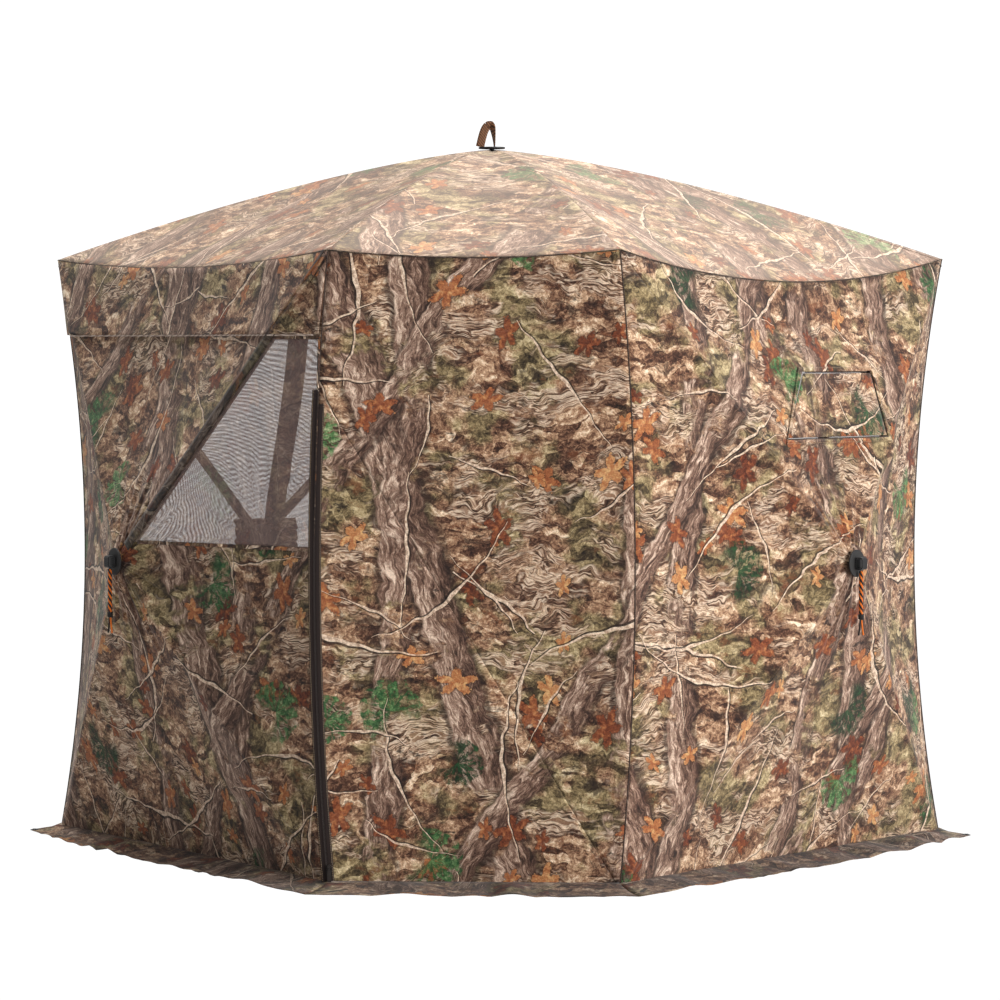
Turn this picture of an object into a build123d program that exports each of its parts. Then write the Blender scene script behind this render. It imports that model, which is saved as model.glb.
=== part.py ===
# Pop-up hub ground blind: four walls that pop outwards on wall hubs, a flat door wall and a five-spoke roof.
# Frame: +Z up, the door faces -Y, the origin is on the ground under the middle of the whole blind.
import os
from math import atan2, cos, degrees, radians, sin

from build123d import *

os.makedirs("parts", exist_ok=True)

# ---- driving dimensions, mm ----
CORNER_H = 1700.0  # height of the eave corners
ROOF_RISE = 306.0  # roof hub above the eave corners
HALF_WIDTH = 1302.0  # half the distance between the two side corners
DOOR_HALF = 385.0  # half the width of the door wall
DOOR_Y = -950.0  # door wall from the roof hub
SIDE_Y = 350.0  # side corners from the roof hub
BACK_Y = 1264.0  # back corner from the roof hub
PLAN_SHIFT = -139.5  # moves the plan so that the origin is under the middle of the skirt
WALL_BULGE = 220.0  # how far each wall hub stands out of its wall
HUB_H = 848.0  # height of the wall hubs
SEAM_BOW = 80.0  # how far the corner seams are pulled in at half height
DOOR_SEAM_BOW = 52.0
FABRIC = 3.0
SCREEN = 1.5
POLE_D = 11.0
SKIRT_W = 130.0
SKIRT_CORNER = 95.0  # reach of the skirt's pointed corners
SKIRT_GAP = 6.0  # skirt's inner edge from the foot of the wall
SEAM_STEPS = 4
ROOF_STEPS = 4
ROOF_POWER = 1.4

# corners in order round the blind, seen from above, anticlockwise from the left side corner
CORNERS = {
    "a": (-HALF_WIDTH, SIDE_Y + PLAN_SHIFT),
    "b": (-DOOR_HALF, DOOR_Y + PLAN_SHIFT),
    "c": (DOOR_HALF, DOOR_Y + PLAN_SHIFT),
    "d": (HALF_WIDTH, SIDE_Y + PLAN_SHIFT),
    "e": (0.0, BACK_Y + PLAN_SHIFT),
}
WALLS = {"left": ("a", "b"), "right": ("c", "d"), "back_right": ("d", "e"), "back_left": ("e", "a")}
EAVE_SAG = {"left": 35.0, "right": 75.0, "back_right": 45.0, "back_left": 45.0, "door": 20.0}
ROOF_AXIS = Vector(0, PLAN_SHIFT, 0)
APEX = Vector(0, PLAN_SHIFT, CORNER_H + ROOF_RISE)

# hub hardware
HUB_R = 45.0
HUB_T = 20.0
HUB_SINK = 21.0  # outer face of a hub below the peak of its fabric
PIN_RING = 36.0
PIN_R = 2.5
PIN_L = 24.0
PIN_CLEAR = 0.05
SLOT_W = 9.0
EYE_T = 8.0
EYE_R = 9.0
EYE_REACH = 30.0  # from the pin to where the round pole starts
STUD_R = 7.0
STUD_HOLE_R = 8.5
CAP_R = 38.0
CAP_T = 5.0
WALL_TIP_GAP = 47.0  # wall pole's tip short of its corner
ROOF_TIP_GAP = 72.0  # roof pole's tip short of its corner
POLE_INSET = 12.0  # pole's axis inside the fabric at its corner
ROOF_POLE_SAG = 38.0

# windows and door
SCREEN_LOW, SCREEN_HIGH = 905.0, 1470.0
# where each mesh window's sill and head begin and end along its wall
BACK_SCREEN = ((-560.0, 560.0), (-600.0, 600.0))
SCREEN_ENDS = {
    "left": ((-560.0, 735.0), (-600.0, 755.0)),
    "back_left": BACK_SCREEN,
    "back_right": BACK_SCREEN,
}
SIDE_SILL = 815.0  # sill of a back window beside its hub
PATCH_HALF = 110.0  # half width of the cloth left round that hub
WINDOW_LOW, WINDOW_HIGH = 1190.0, 1376.0
WINDOW_ENDS = ((-205.0, 300.0), (-60.0, 290.0))
WINDOW_LAP = 16.0  # width of the binding round the shooting window
ZIP_TOP = 1330.0
DOOR_FOOT = 10.0
TAPE_W = 11.0


def corner(key, height=0.0):
    return Vector(*CORNERS[key], height)


def wall_normal(wall):
    """Outward horizontal normal of a wall's flat plane."""
    first, second = WALLS[wall]
    run = corner(second) - corner(first)
    return Vector(run.Y, -run.X, 0).normalized()


def wall_along(wall):
    first, second = WALLS[wall]
    return (corner(second) - corner(first)).normalized()


def hub_peak(wall):
    """Where the wall's four fabric faces meet, popped out."""
    first, second = WALLS[wall]
    middle = (corner(first) + corner(second)) * 0.5
    return middle + wall_normal(wall) * WALL_BULGE + Vector(0, 0, HUB_H)


def seam_pull(key):
    """Direction and size of the bow of a corner seam."""
    pull = Vector(0, 0, 0)
    for wall, ends in WALLS.items():
        if key in ends:
            reach = hub_peak(wall) - corner(key)
            pull += Vector(reach.X, reach.Y, 0).normalized()
    size = DOOR_SEAM_BOW if key in "bc" else SEAM_BOW
    return pull.normalized() * size


def seam_node(key, step):
    share = step / SEAM_STEPS
    return corner(key, CORNER_H * share) + seam_pull(key) * (4 * share * (1 - share))


def seam_point(key, height):
    """Point of a corner seam, which runs straight from one of its nodes to the next."""
    step = min(int(height / CORNER_H * SEAM_STEPS), SEAM_STEPS - 1)
    low, high = seam_node(key, step), seam_node(key, step + 1)
    return low + (high - low) * ((height - low.Z) / (high.Z - low.Z))


def seam(key, low=0.0, high=CORNER_H):
    """A corner seam from one height to another, with its nodes between them."""
    nodes = [seam_node(key, step) for step in range(SEAM_STEPS + 1)]
    between = [node for node in nodes if low + 1 < node.Z < high - 1]
    return [seam_point(key, low)] + between + [seam_point(key, high)]


def eave(first, second, sag, steps=SEAM_STEPS):
    """Points along an eave from one corner to the other, lowest in the middle."""
    start, stop = corner(first, CORNER_H), corner(second, CORNER_H)
    points = []
    for i in range(steps + 1):
        share = i / steps
        drop = Vector(0, 0, -sag * 4 * share * (1 - share))
        points.append(start + (stop - start) * share + drop)
    return points


def facet(points, direction, thickness):
    """One flat fabric face, thickened along a given direction."""
    plane = Plane(Face(Wire.make_polygon(points, close=True)))
    with BuildSketch(plane) as face:
        with BuildLine():
            Polyline([plane.to_local_coords(p) for p in points], close=True)
        make_face()
    extrude(face.sketch, amount=thickness, dir=direction)


def wall_outline(wall):
    first, second = WALLS[wall]
    top = eave(first, second, EAVE_SAG[wall])
    return seam(first) + top[1:] + seam(second)[::-1][1:]


def wall_faces(wall, thickness):
    """The fan of flat faces from the hub peak to the wall's edge."""
    outline = wall_outline(wall)
    peak = hub_peak(wall)
    for near, far in zip(outline, outline[1:] + outline[:1]):
        facet([near, far, peak], wall_normal(wall), thickness)


def wall_plane(wall, offset=0.0):
    """Plane of a wall: x along the wall, y up, z outwards, origin under its hub on the ground."""
    peak = hub_peak(wall)
    foot = Vector(peak.X, peak.Y, 0) + wall_normal(wall) * (offset - WALL_BULGE)
    return Plane(origin=foot, x_dir=wall_along(wall), z_dir=wall_normal(wall))


def window_outline(low, high, ends, grow=0.0):
    """Four-sided window as (along, up) points, wider or narrower by grow on every side."""
    (sill_from, sill_to), (head_from, head_to) = ends
    return [
        (sill_from - grow, low - grow),
        (sill_to + grow, low - grow),
        (head_to + grow, high + grow),
        (head_from - grow, high + grow),
    ]


def window_block(wall, outline, mode):
    """A block through the wall with a window's outline."""
    with BuildSketch(wall_plane(wall, -50)) as window:
        with BuildLine():
            Polyline(outline, close=True)
        make_face()
    extrude(window.sketch, amount=WALL_BULGE + 150, mode=mode)


def save(part, name):
    part.label = name
    export_step(part, f"parts/{name}.step")


SCREEN_OUTLINES = {wall: window_outline(SCREEN_LOW, SCREEN_HIGH, ends) for wall, ends in SCREEN_ENDS.items()}
for wall in ("back_left", "back_right"):
    # the sill drops on both sides of the hub's patch of cloth
    (x1, _), (x2, _), *head = SCREEN_OUTLINES[wall]
    patch = [(-PATCH_HALF, SIDE_SILL), (-PATCH_HALF, SCREEN_LOW), (PATCH_HALF, SCREEN_LOW), (PATCH_HALF, SIDE_SILL)]
    SCREEN_OUTLINES[wall] = [(x1, SIDE_SILL), *patch, (x2, SIDE_SILL), *head]
WINDOW_OUTLINE = window_outline(WINDOW_LOW, WINDOW_HIGH, WINDOW_ENDS)

# ---- fabric walls ----
for wall in WALLS:
    with BuildPart() as wall_fabric:
        wall_faces(wall, FABRIC)
        window_block(wall, SCREEN_OUTLINES.get(wall, WINDOW_OUTLINE), Mode.SUBTRACT)
        with BuildSketch(wall_plane(wall)):
            with Locations((0, HUB_H)):
                Circle(STUD_HOLE_R)
        extrude(amount=WALL_BULGE + 20, mode=Mode.SUBTRACT)
    save(wall_fabric.part, f"{wall}_wall")

# ---- see-through screens in three walls ----
screens = []
for wall, outline in SCREEN_OUTLINES.items():
    with BuildPart() as screen:
        wall_faces(wall, SCREEN)
        window_block(wall, outline, Mode.INTERSECT)
    screens.append(screen.part)
save(Compound(screens), "window_screens")

# ---- roof ----
def spoke(key, step):
    """Point on the bowed line from the roof hub, step 0, to a corner's top."""
    share = step / ROOF_STEPS
    flat = ROOF_AXIS + (corner(key) - ROOF_AXIS) * share
    return flat + Vector(0, 0, CORNER_H + ROOF_RISE * (1 - share**ROOF_POWER))


with BuildPart() as roof:
    ring = list(CORNERS)
    for first, second in zip(ring, ring[1:] + ring[:1]):
        wall = next((w for w, ends in WALLS.items() if ends == (first, second)), "door")
        facet([APEX, spoke(first, 1), spoke(second, 1)], Vector(0, 0, 1), FABRIC)
        for step in range(1, ROOF_STEPS - 1):
            inner = [spoke(second, step), spoke(first, step)]
            facet(inner + [spoke(first, step + 1), spoke(second, step + 1)], Vector(0, 0, 1), FABRIC)
        rim = eave(first, second, EAVE_SAG[wall])
        half = len(rim) // 2
        last_first, last_second = spoke(first, ROOF_STEPS - 1), spoke(second, ROOF_STEPS - 1)
        facet([last_first, rim[half], last_second], Vector(0, 0, 1), FABRIC)
        for i in range(half):
            facet([last_first, rim[i], rim[i + 1]], Vector(0, 0, 1), FABRIC)
            facet([last_second, rim[half + i], rim[half + i + 1]], Vector(0, 0, 1), FABRIC)
    with BuildSketch(Plane.XY.offset(CORNER_H)):
        with Locations((APEX.X, APEX.Y)):
            Circle(STUD_HOLE_R)
    extrude(amount=ROOF_RISE + 20, mode=Mode.SUBTRACT)
save(roof.part, "roof")

# ---- door wall: a fixed upper panel and a three-cornered flap that folds about the line between them ----
FOLD_FOOT = corner("c", DOOR_FOOT)
SLIT = 2.0  # gap along the zip and the fold


def door_face(points, thickness=FABRIC):
    facet(points, Vector(0, -1, 0), thickness)


def shift(point, x=0.0, z=0.0):
    return point + Vector(x, 0, z)


with BuildPart() as door_panel:
    hook = seam_point("b", ZIP_TOP + SLIT)
    outline = eave("b", "c", EAVE_SAG["door"]) + seam("c", DOOR_FOOT + 2 * SLIT)[::-1][1:]
    for near, far in zip(outline, outline[1:]):
        door_face([hook, near, far])
save(door_panel.part, "door_panel")

with BuildPart() as door_flap:
    zip_edge = [shift(p, x=TAPE_W + SLIT) for p in seam("b", DOOR_FOOT, ZIP_TOP - 40)]
    foot = shift(FOLD_FOOT, x=-10)
    for high, low in zip(zip_edge[::-1], zip_edge[::-1][1:]):
        door_face([high, foot, low])
save(door_flap.part, "door_flap")

# ---- zip down the left door seam ----
with BuildPart() as zip_tape:
    edge = seam("b", DOOR_FOOT, ZIP_TOP - 30)
    for high, low in zip(edge[::-1], edge[::-1][1:]):
        door_face([high, shift(high, x=TAPE_W), shift(low, x=TAPE_W), low])
save(zip_tape.part, "zip_tape")

SLIDER_LOW = 60.0
with BuildPart() as zip_slider:
    place = shift(seam_point("b", SLIDER_LOW), x=TAPE_W / 2) - Vector(0, 0.6, 0)
    with BuildSketch(Plane(origin=place - Vector(0, FABRIC + 1.0, 0), x_dir=(1, 0, 0), z_dir=(0, -1, 0))):
        SlotOverall(22, 13, rotation=90)
    extrude(amount=5)
    with BuildSketch(Plane(origin=place - Vector(0, FABRIC + 6.0, 24), x_dir=(1, 0, 0), z_dir=(0, -1, 0))):
        SlotOverall(46, 10, rotation=90)
    extrude(amount=2.5)
save(zip_slider.part, "zip_slider")

# ---- shooting window in the right wall: a binding that moves with the wall and a flap that drops inwards ----


def on_upper_face(wall, along, up, out=0.0):
    """Point on the flat upper face between the two top creases of a wall."""
    peak = hub_peak(wall)
    first, second = WALLS[wall]
    rim = eave(first, second, EAVE_SAG[wall])
    middle = rim[len(rim) // 2]
    share = (up - peak.Z) / (middle.Z - peak.Z)
    depth = WALL_BULGE * (1 - share)
    return wall_plane(wall).from_local_coords(Vector(along, up, depth + out))


WINDOW_PLANE_OUT = FABRIC + 0.6


def window_plate(outline, low_out, high_out):
    """A thin plate that follows the upper face of the right wall behind an outline."""
    low_z, high_z = outline[0][1] - 30, outline[2][1] + 30
    ends = [along for along, _ in outline]
    start, stop = min(ends) - 80, max(ends) + 80
    corners = [
        on_upper_face("right", start, low_z, low_out),
        on_upper_face("right", stop, low_z, low_out),
        on_upper_face("right", stop, high_z, low_out),
        on_upper_face("right", start, high_z, low_out),
    ]
    facet(corners, wall_normal("right"), high_out - low_out)
    window_block("right", outline, Mode.INTERSECT)


def bulge_clearance():
    """How far the fan of faces stands outside the upper face's middle plane beside the centre line."""
    outline = wall_outline("right")
    peak = hub_peak("right")
    plane = wall_plane("right")
    worst = 0.0
    grown = window_outline(WINDOW_LOW, WINDOW_HIGH, WINDOW_ENDS, WINDOW_LAP)
    samples = [
        (x1 + (x2 - x1) * i / 12, y1 + (y2 - y1) * i / 12)
        for (x1, y1), (x2, y2) in zip(grown, grown[1:] + grown[:1])
        for i in range(12)
    ]
    for along, up in samples:
        middle = plane.to_local_coords(on_upper_face("right", along, up)).Z
        for near, far in zip(outline, outline[1:] + outline[:1]):
            tri = [plane.to_local_coords(p) for p in (near, far, peak)]
            area = (tri[1].X - tri[0].X) * (tri[2].Y - tri[0].Y) - (tri[2].X - tri[0].X) * (tri[1].Y - tri[0].Y)
            if abs(area) < 1:
                continue
            s = ((along - tri[0].X) * (tri[2].Y - tri[0].Y) - (tri[2].X - tri[0].X) * (up - tri[0].Y)) / area
            t = ((tri[1].X - tri[0].X) * (up - tri[0].Y) - (along - tri[0].X) * (tri[1].Y - tri[0].Y)) / area
            if s >= 0 and t >= 0 and s + t <= 1:
                depth = tri[0].Z + s * (tri[1].Z - tri[0].Z) + t * (tri[2].Z - tri[0].Z)
                worst = max(worst, depth - middle)
    return worst


WINDOW_OUT = bulge_clearance() + WINDOW_PLANE_OUT
with BuildPart() as window_binding:
    grown = window_outline(WINDOW_LOW, WINDOW_HIGH, WINDOW_ENDS, WINDOW_LAP)
    window_plate(grown, WINDOW_OUT, WINDOW_OUT + 2.0)
    window_block("right", WINDOW_OUTLINE, Mode.SUBTRACT)
save(window_binding.part, "window_binding")

with BuildPart() as window_flap:
    shrunk = window_outline(WINDOW_LOW, WINDOW_HIGH, WINDOW_ENDS, -4.0)
    window_plate(shrunk, WINDOW_OUT - 2.0, WINDOW_OUT)
save(window_flap.part, "window_flap")


# ---- hubs, poles and pulls ----
def local_at(plane, x, y, z=0.0):
    return plane.from_local_coords(Vector(x, y, z))


def turn(plane, angle):
    """The plane turned about its own z axis, in degrees."""
    x_dir = plane.x_dir * cos(radians(angle)) + plane.y_dir * sin(radians(angle))
    return Plane(origin=plane.origin, x_dir=x_dir, z_dir=plane.z_dir)


def hub_solid(plane, angles, name):
    """Hub disc with one slot and one pin hole for each pole. plane.z points out of the blind."""
    with BuildPart() as hub:
        with BuildSketch(plane.offset(-HUB_SINK - HUB_T)):
            Circle(HUB_R)
        extrude(amount=HUB_T)
        chamfer(hub.edges().filter_by(GeomType.CIRCLE), 2.0)
        for angle in angles:
            turned = turn(plane, angle)
            with BuildSketch(turned.offset(-HUB_SINK - HUB_T)):
                with Locations((PIN_RING + 4, 0)):
                    Rectangle(2 * (PIN_RING - 20 + 4), SLOT_W)
            extrude(amount=HUB_T, mode=Mode.SUBTRACT)
            across = Plane(origin=local_at(turned, PIN_RING, -PIN_L / 2, -HUB_SINK - HUB_T / 2), z_dir=turned.y_dir)
            with BuildSketch(across):
                Circle(PIN_R)
            extrude(amount=PIN_L, mode=Mode.SUBTRACT)
    save(hub.part, name)


def pin_solids(plane, angles, name):
    with BuildPart() as pins:
        for angle in angles:
            turned = turn(plane, angle)
            across = Plane(origin=local_at(turned, PIN_RING, -PIN_L / 2, -HUB_SINK - HUB_T / 2), z_dir=turned.y_dir)
            with BuildSketch(across):
                Circle(PIN_R)
            extrude(amount=PIN_L)
    save(pins.part, name)


def cap_solid(plane, name):
    """Round cap outside the fabric, with a stud through it to the hub."""
    with BuildPart() as cap:
        with BuildSketch(plane.offset(FABRIC + 0.5)):
            Circle(CAP_R)
        extrude(amount=CAP_T)
        chamfer(cap.edges().group_by(SortBy.LENGTH)[-1], 1.2)
        with BuildSketch(plane.offset(-HUB_SINK)):
            Circle(STUD_R)
        extrude(amount=HUB_SINK + FABRIC + 0.5)
    save(cap.part, name)


def pin_place(plane, angle):
    return local_at(turn(plane, angle), PIN_RING, 0, -HUB_SINK - HUB_T / 2)


def pole_solid(plane, angle, tip, sagitta, name):
    """Pole with a flat eye round its pin. The pole runs to tip, bowed outwards by sagitta."""
    turned = turn(plane, angle)
    pin = pin_place(plane, angle)
    run = (tip - pin).normalized()
    side = turned.y_dir
    up = side.cross(run) * -1
    start = pin + run * EYE_REACH
    with BuildPart() as pole:
        with BuildSketch(Plane(origin=pin - side * (EYE_T / 2), x_dir=run, z_dir=side)):
            Circle(EYE_R)
            with Locations((EYE_REACH / 2, 0)):
                Rectangle(EYE_REACH, 2 * EYE_R * 0.72)
            Circle(PIN_R + PIN_CLEAR, mode=Mode.SUBTRACT)
        extrude(amount=EYE_T)
        middle = (start + tip) * 0.5 + up * sagitta
        with BuildLine():
            if sagitta:
                ThreePointArc(start, middle, tip)
            else:
                Line(start, tip)
        with BuildSketch(Plane(origin=start, z_dir=pole.pending_edges[0] % 0)):
            Circle(POLE_D / 2)
        sweep()
    save(pole.part, name)


def strap_solid(plane, name):
    """Webbing loop on a cap: a closed strap seen from its edge, standing out of the cap."""
    width, thick, out, tall = 25.0, 2.5, 24.0, 34.0
    base = FABRIC + 0.5 + CAP_T
    with BuildPart() as strap:
        side = Plane(origin=local_at(plane, -width / 2, 0, base + out / 2 + 0.2), x_dir=plane.z_dir, z_dir=plane.x_dir)
        with BuildSketch(side):
            RectangleRounded(out, tall, 8)
            RectangleRounded(out - 2 * thick, tall - 2 * thick, 6, mode=Mode.SUBTRACT)
        extrude(amount=width)
    save(strap.part, name)


CORD_D = 12.0
CORD_DROP = 118.0
TAIL_D = 5.0
TAIL_L = 45.0


def pull_solid(plane, name):
    """Braided pull hanging in the strap loop, its end knot and its two tails."""
    base = FABRIC + 0.5 + CAP_T
    top = local_at(plane, 0, -21, base + 12)
    with BuildPart() as pull:
        with BuildSketch(Plane(origin=top, z_dir=(0, 0, -1))):
            Circle(CORD_D / 2)
        extrude(amount=CORD_DROP)
        with BuildSketch(Plane(origin=top - Vector(0, 0, CORD_DROP), z_dir=(0, 0, -1))):
            Circle(9)
        extrude(amount=15)
        with BuildSketch(Plane(origin=top - Vector(0, 0, CORD_DROP + 15), x_dir=plane.x_dir, z_dir=(0, 0, -1))):
            with Locations((-5, 0), (5, 0)):
                Circle(TAIL_D / 2)
        extrude(amount=TAIL_L)
    save(pull.part, name)


def crease_angle(plane, target):
    spot = plane.to_local_coords(target)
    return degrees(atan2(spot.Y, spot.X))


def hub_plane_of(wall):
    return Plane(origin=hub_peak(wall), x_dir=wall_along(wall), z_dir=wall_normal(wall))


def pole_targets(wall):
    """The four corners that a wall's poles reach for."""
    first, second = WALLS[wall]
    return {
        "pole_1": corner(first, CORNER_H),
        "pole_2": corner(second, CORNER_H),
        "pole_3": corner(second, 0),
        "pole_4": corner(first, 0),
    }


for wall in WALLS:
    hub_plane = hub_plane_of(wall)
    targets = pole_targets(wall)
    angles = {name: crease_angle(hub_plane, target) for name, target in targets.items()}
    hub_solid(hub_plane, angles.values(), f"{wall}_hub")
    pin_solids(hub_plane, angles.values(), f"{wall}_hub_pins")
    cap_solid(hub_plane, f"{wall}_hub_cap")
    strap_solid(hub_plane, f"{wall}_pull_strap")
    pull_solid(hub_plane, f"{wall}_pull_cord")
    for name, target in targets.items():
        pin = pin_place(hub_plane, angles[name])
        aim = target - wall_normal(wall) * POLE_INSET
        tip = aim - (aim - pin).normalized() * WALL_TIP_GAP
        pole_solid(hub_plane, angles[name], tip, 0, f"{wall}_{name}")

roof_plane = Plane(origin=APEX, x_dir=(1, 0, 0), z_dir=(0, 0, 1))
roof_angles = {key: crease_angle(roof_plane, corner(key)) for key in CORNERS}
hub_solid(roof_plane, roof_angles.values(), "roof_hub")
pin_solids(roof_plane, roof_angles.values(), "roof_hub_pins")
cap_solid(roof_plane, "roof_hub_cap")
for key, angle in roof_angles.items():
    pin = pin_place(roof_plane, angle)
    aim = corner(key, CORNER_H - POLE_INSET)
    tip = aim - (aim - pin).normalized() * ROOF_TIP_GAP
    pole_solid(roof_plane, angle, tip, ROOF_POLE_SAG, f"roof_pole_{key}")

with BuildPart() as roof_strap:
    base = APEX + Vector(0, 0, FABRIC + 0.5 + CAP_T)
    with BuildSketch(Plane(origin=base + Vector(-12, -14, 33), x_dir=(1, 0, 0), z_dir=(0, 1, 0))):
        Ellipse(22, 32)
        Ellipse(19, 29, mode=Mode.SUBTRACT)
    extrude(amount=28)
save(roof_strap.part, "roof_strap")

# ---- pole pockets in the corners ----
POCKET = 16.0
POCKET_T = 10.0
ring = list(CORNERS)
with BuildPart() as pockets:
    for height in (CORNER_H - 14.0, 4.0):
        for i, key in enumerate(ring):
            before, after = corner(ring[i - 1]), corner(ring[(i + 1) % len(ring)])
            here = corner(key)
            one, two = (before - here).normalized(), (after - here).normalized()
            inside = (one + two).normalized() * 4
            tips = [here + inside, here + inside + one * POCKET, here + inside + two * POCKET]
            with BuildSketch(Plane.XY.offset(height)):
                with BuildLine():
                    Polyline([(p.X, p.Y) for p in tips], close=True)
                make_face()
            extrude(amount=POCKET_T)
save(pockets.part, "pole_pockets")

# ---- ground skirt, stake tabs and eyelets ----
EYELET_R, EYELET_OUT = 6.0, 11.0
EYELET_FROM_CORNER = 62.0
TAB_L, TAB_W, TAB_T = 44.0, 30.0, 3.0


def outward(key):
    """Direction of the skirt's point at a corner."""
    i = ring.index(key)
    before, after = corner(ring[i - 1]), corner(ring[(i + 1) % len(ring)])
    here = corner(key)
    return ((here - before).normalized() + (here - after).normalized()).normalized()


def foot_offset(distance):
    """Corners of the plan, moved outwards by the same distance from every wall."""
    points = []
    for i, key in enumerate(ring):
        before, after = corner(ring[i - 1]), corner(ring[(i + 1) % len(ring)])
        here = corner(key)
        half = radians((before - here).get_angle(after - here)) / 2
        points.append(here + outward(key) * (distance / sin(half)))
    return points


outer = []
for i, key in enumerate(ring):
    following = ring[(i + 1) % len(ring)]
    run = corner(following) - corner(key)
    normal = Vector(run.Y, -run.X, 0).normalized()
    reach = SKIRT_CORNER if key in "ade" else SKIRT_W * 0.9
    outer.append(corner(key) + outward(key) * reach)
    for share in (0.25, 0.75) if run.length > 1000 else (0.5,):
        outer.append(corner(key) + run * share + normal * SKIRT_W)
eyelets = [corner(key) + outward(key) * EYELET_FROM_CORNER for key in ring]
with BuildPart() as skirt:
    with BuildSketch(Plane.XY):
        with BuildLine():
            Polyline([(p.X, p.Y) for p in outer], close=True)
        make_face()
        with BuildLine():
            Polyline([(p.X, p.Y) for p in foot_offset(SKIRT_GAP)], close=True)
        make_face(mode=Mode.SUBTRACT)
        with Locations([(p.X, p.Y) for p in eyelets]):
            Circle(EYELET_OUT, mode=Mode.SUBTRACT)
    extrude(amount=FABRIC)
    for key, spot in zip(ring, eyelets):
        with BuildSketch(Plane(origin=spot + Vector(0, 0, FABRIC), x_dir=outward(key), z_dir=(0, 0, 1))):
            Rectangle(TAB_L, TAB_W)
            Circle(EYELET_OUT, mode=Mode.SUBTRACT)
        extrude(amount=TAB_T)
save(skirt.part, "ground_skirt")

with BuildPart() as stake_eyelets:
    for spot in eyelets:
        with BuildSketch(Plane(origin=spot, z_dir=(0, 0, 1))):
            Circle(EYELET_OUT)
            Circle(EYELET_R, mode=Mode.SUBTRACT)
        extrude(amount=FABRIC + TAB_T)
save(stake_eyelets.part, "stake_eyelets")
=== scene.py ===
# Pop-up hub ground blind in printed woodland cloth: cloth walls and roof over hub poles, with mesh windows,
# a zipped door, a ground skirt and rope pulls. Metres, +Z up, the door faces -Y.
import math

import bmesh
import bpy
from mathutils import Matrix, Vector, noise


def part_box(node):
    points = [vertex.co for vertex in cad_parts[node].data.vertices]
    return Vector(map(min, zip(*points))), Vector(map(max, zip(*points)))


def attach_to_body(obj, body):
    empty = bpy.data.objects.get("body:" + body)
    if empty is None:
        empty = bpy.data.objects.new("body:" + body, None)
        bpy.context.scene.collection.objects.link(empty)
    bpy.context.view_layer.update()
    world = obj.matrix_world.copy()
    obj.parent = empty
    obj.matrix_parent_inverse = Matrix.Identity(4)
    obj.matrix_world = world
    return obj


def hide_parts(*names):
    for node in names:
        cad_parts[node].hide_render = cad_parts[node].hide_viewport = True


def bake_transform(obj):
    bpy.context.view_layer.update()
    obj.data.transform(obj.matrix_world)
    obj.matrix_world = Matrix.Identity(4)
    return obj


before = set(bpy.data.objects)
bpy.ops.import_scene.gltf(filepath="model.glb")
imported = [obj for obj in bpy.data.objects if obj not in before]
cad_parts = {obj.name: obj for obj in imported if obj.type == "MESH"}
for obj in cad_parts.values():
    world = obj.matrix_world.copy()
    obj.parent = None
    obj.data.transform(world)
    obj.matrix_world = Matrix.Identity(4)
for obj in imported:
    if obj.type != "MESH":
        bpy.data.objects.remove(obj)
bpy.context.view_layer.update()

# ---- driving dimensions, the same as the frame's ----
CORNER_H = 1.700
ROOF_RISE = 0.306
PLAN_SHIFT = -0.1395
CORNERS = {
    "a": Vector((-1.302, 0.350 + PLAN_SHIFT, 0)),
    "b": Vector((-0.385, -0.950 + PLAN_SHIFT, 0)),
    "c": Vector((0.385, -0.950 + PLAN_SHIFT, 0)),
    "d": Vector((1.302, 0.350 + PLAN_SHIFT, 0)),
    "e": Vector((0.0, 1.264 + PLAN_SHIFT, 0)),
}
RING = list(CORNERS)
WALLS = {"left": ("a", "b"), "right": ("c", "d"), "back_right": ("d", "e"), "back_left": ("e", "a")}
EAVE_SAG = {"left": 0.035, "right": 0.075, "back_right": 0.045, "back_left": 0.045, "door": 0.020}
WALL_BULGE = 0.220
HUB_H = 0.848
SEAM_BOW, DOOR_SEAM_BOW = 0.080, 0.052
ROOF_POWER = 1.4
UP = Vector((0, 0, 1))
APEX = Vector((0, PLAN_SHIFT, CORNER_H + ROOF_RISE))
CLOTH_T, SCREEN_T = 0.0016, 0.0006
BLEND_START = 0.1  # share of the way from an edge to its hub, worked out in blend_between but bending nothing
SCREEN_LOW, SCREEN_HIGH = 0.905, 1.470
# where each window's sill and head begin and end along its wall
BACK_SCREEN = ((-0.560, 0.560), (-0.600, 0.600))
SIDE_SILL, PATCH_HALF = 0.815, 0.110  # a back window's sill beside its hub, and the cloth left round the hub
LEFT_SCREEN = ((-0.560, 0.742), (-0.600, 0.765))
WINDOW_LOW, WINDOW_HIGH = 1.190, 1.376
WINDOW_ENDS = ((-0.205, 0.300), (-0.060, 0.290))
WINDOW_OUT = 0.0120  # how far the window's plate stands off the wall's middle plane
ZIP_TOP, DOOR_FOOT = 1.330, 0.010
SIDES_OF_RING = list(zip(RING, RING[1:] + RING[:1]))
ACROSS, FRONT = Vector((1, 0, 0)), Vector((0, -1, 0))


# ---- shape of the shell ----
def corner(key, height=0.0):
    return CORNERS[key] + UP * height


def wall_axes(wall):
    """Along and outward directions of a wall."""
    first, second = WALLS[wall]
    along = (CORNERS[second] - CORNERS[first]).normalized()
    return along, Vector((along.y, -along.x, 0))


def wall_between(first, second):
    return next((wall for wall, ends in WALLS.items() if ends == (first, second)), "door")


def hub_peak(wall):
    first, second = WALLS[wall]
    return (CORNERS[first] + CORNERS[second]) / 2 + wall_axes(wall)[1] * WALL_BULGE + UP * HUB_H


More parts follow.
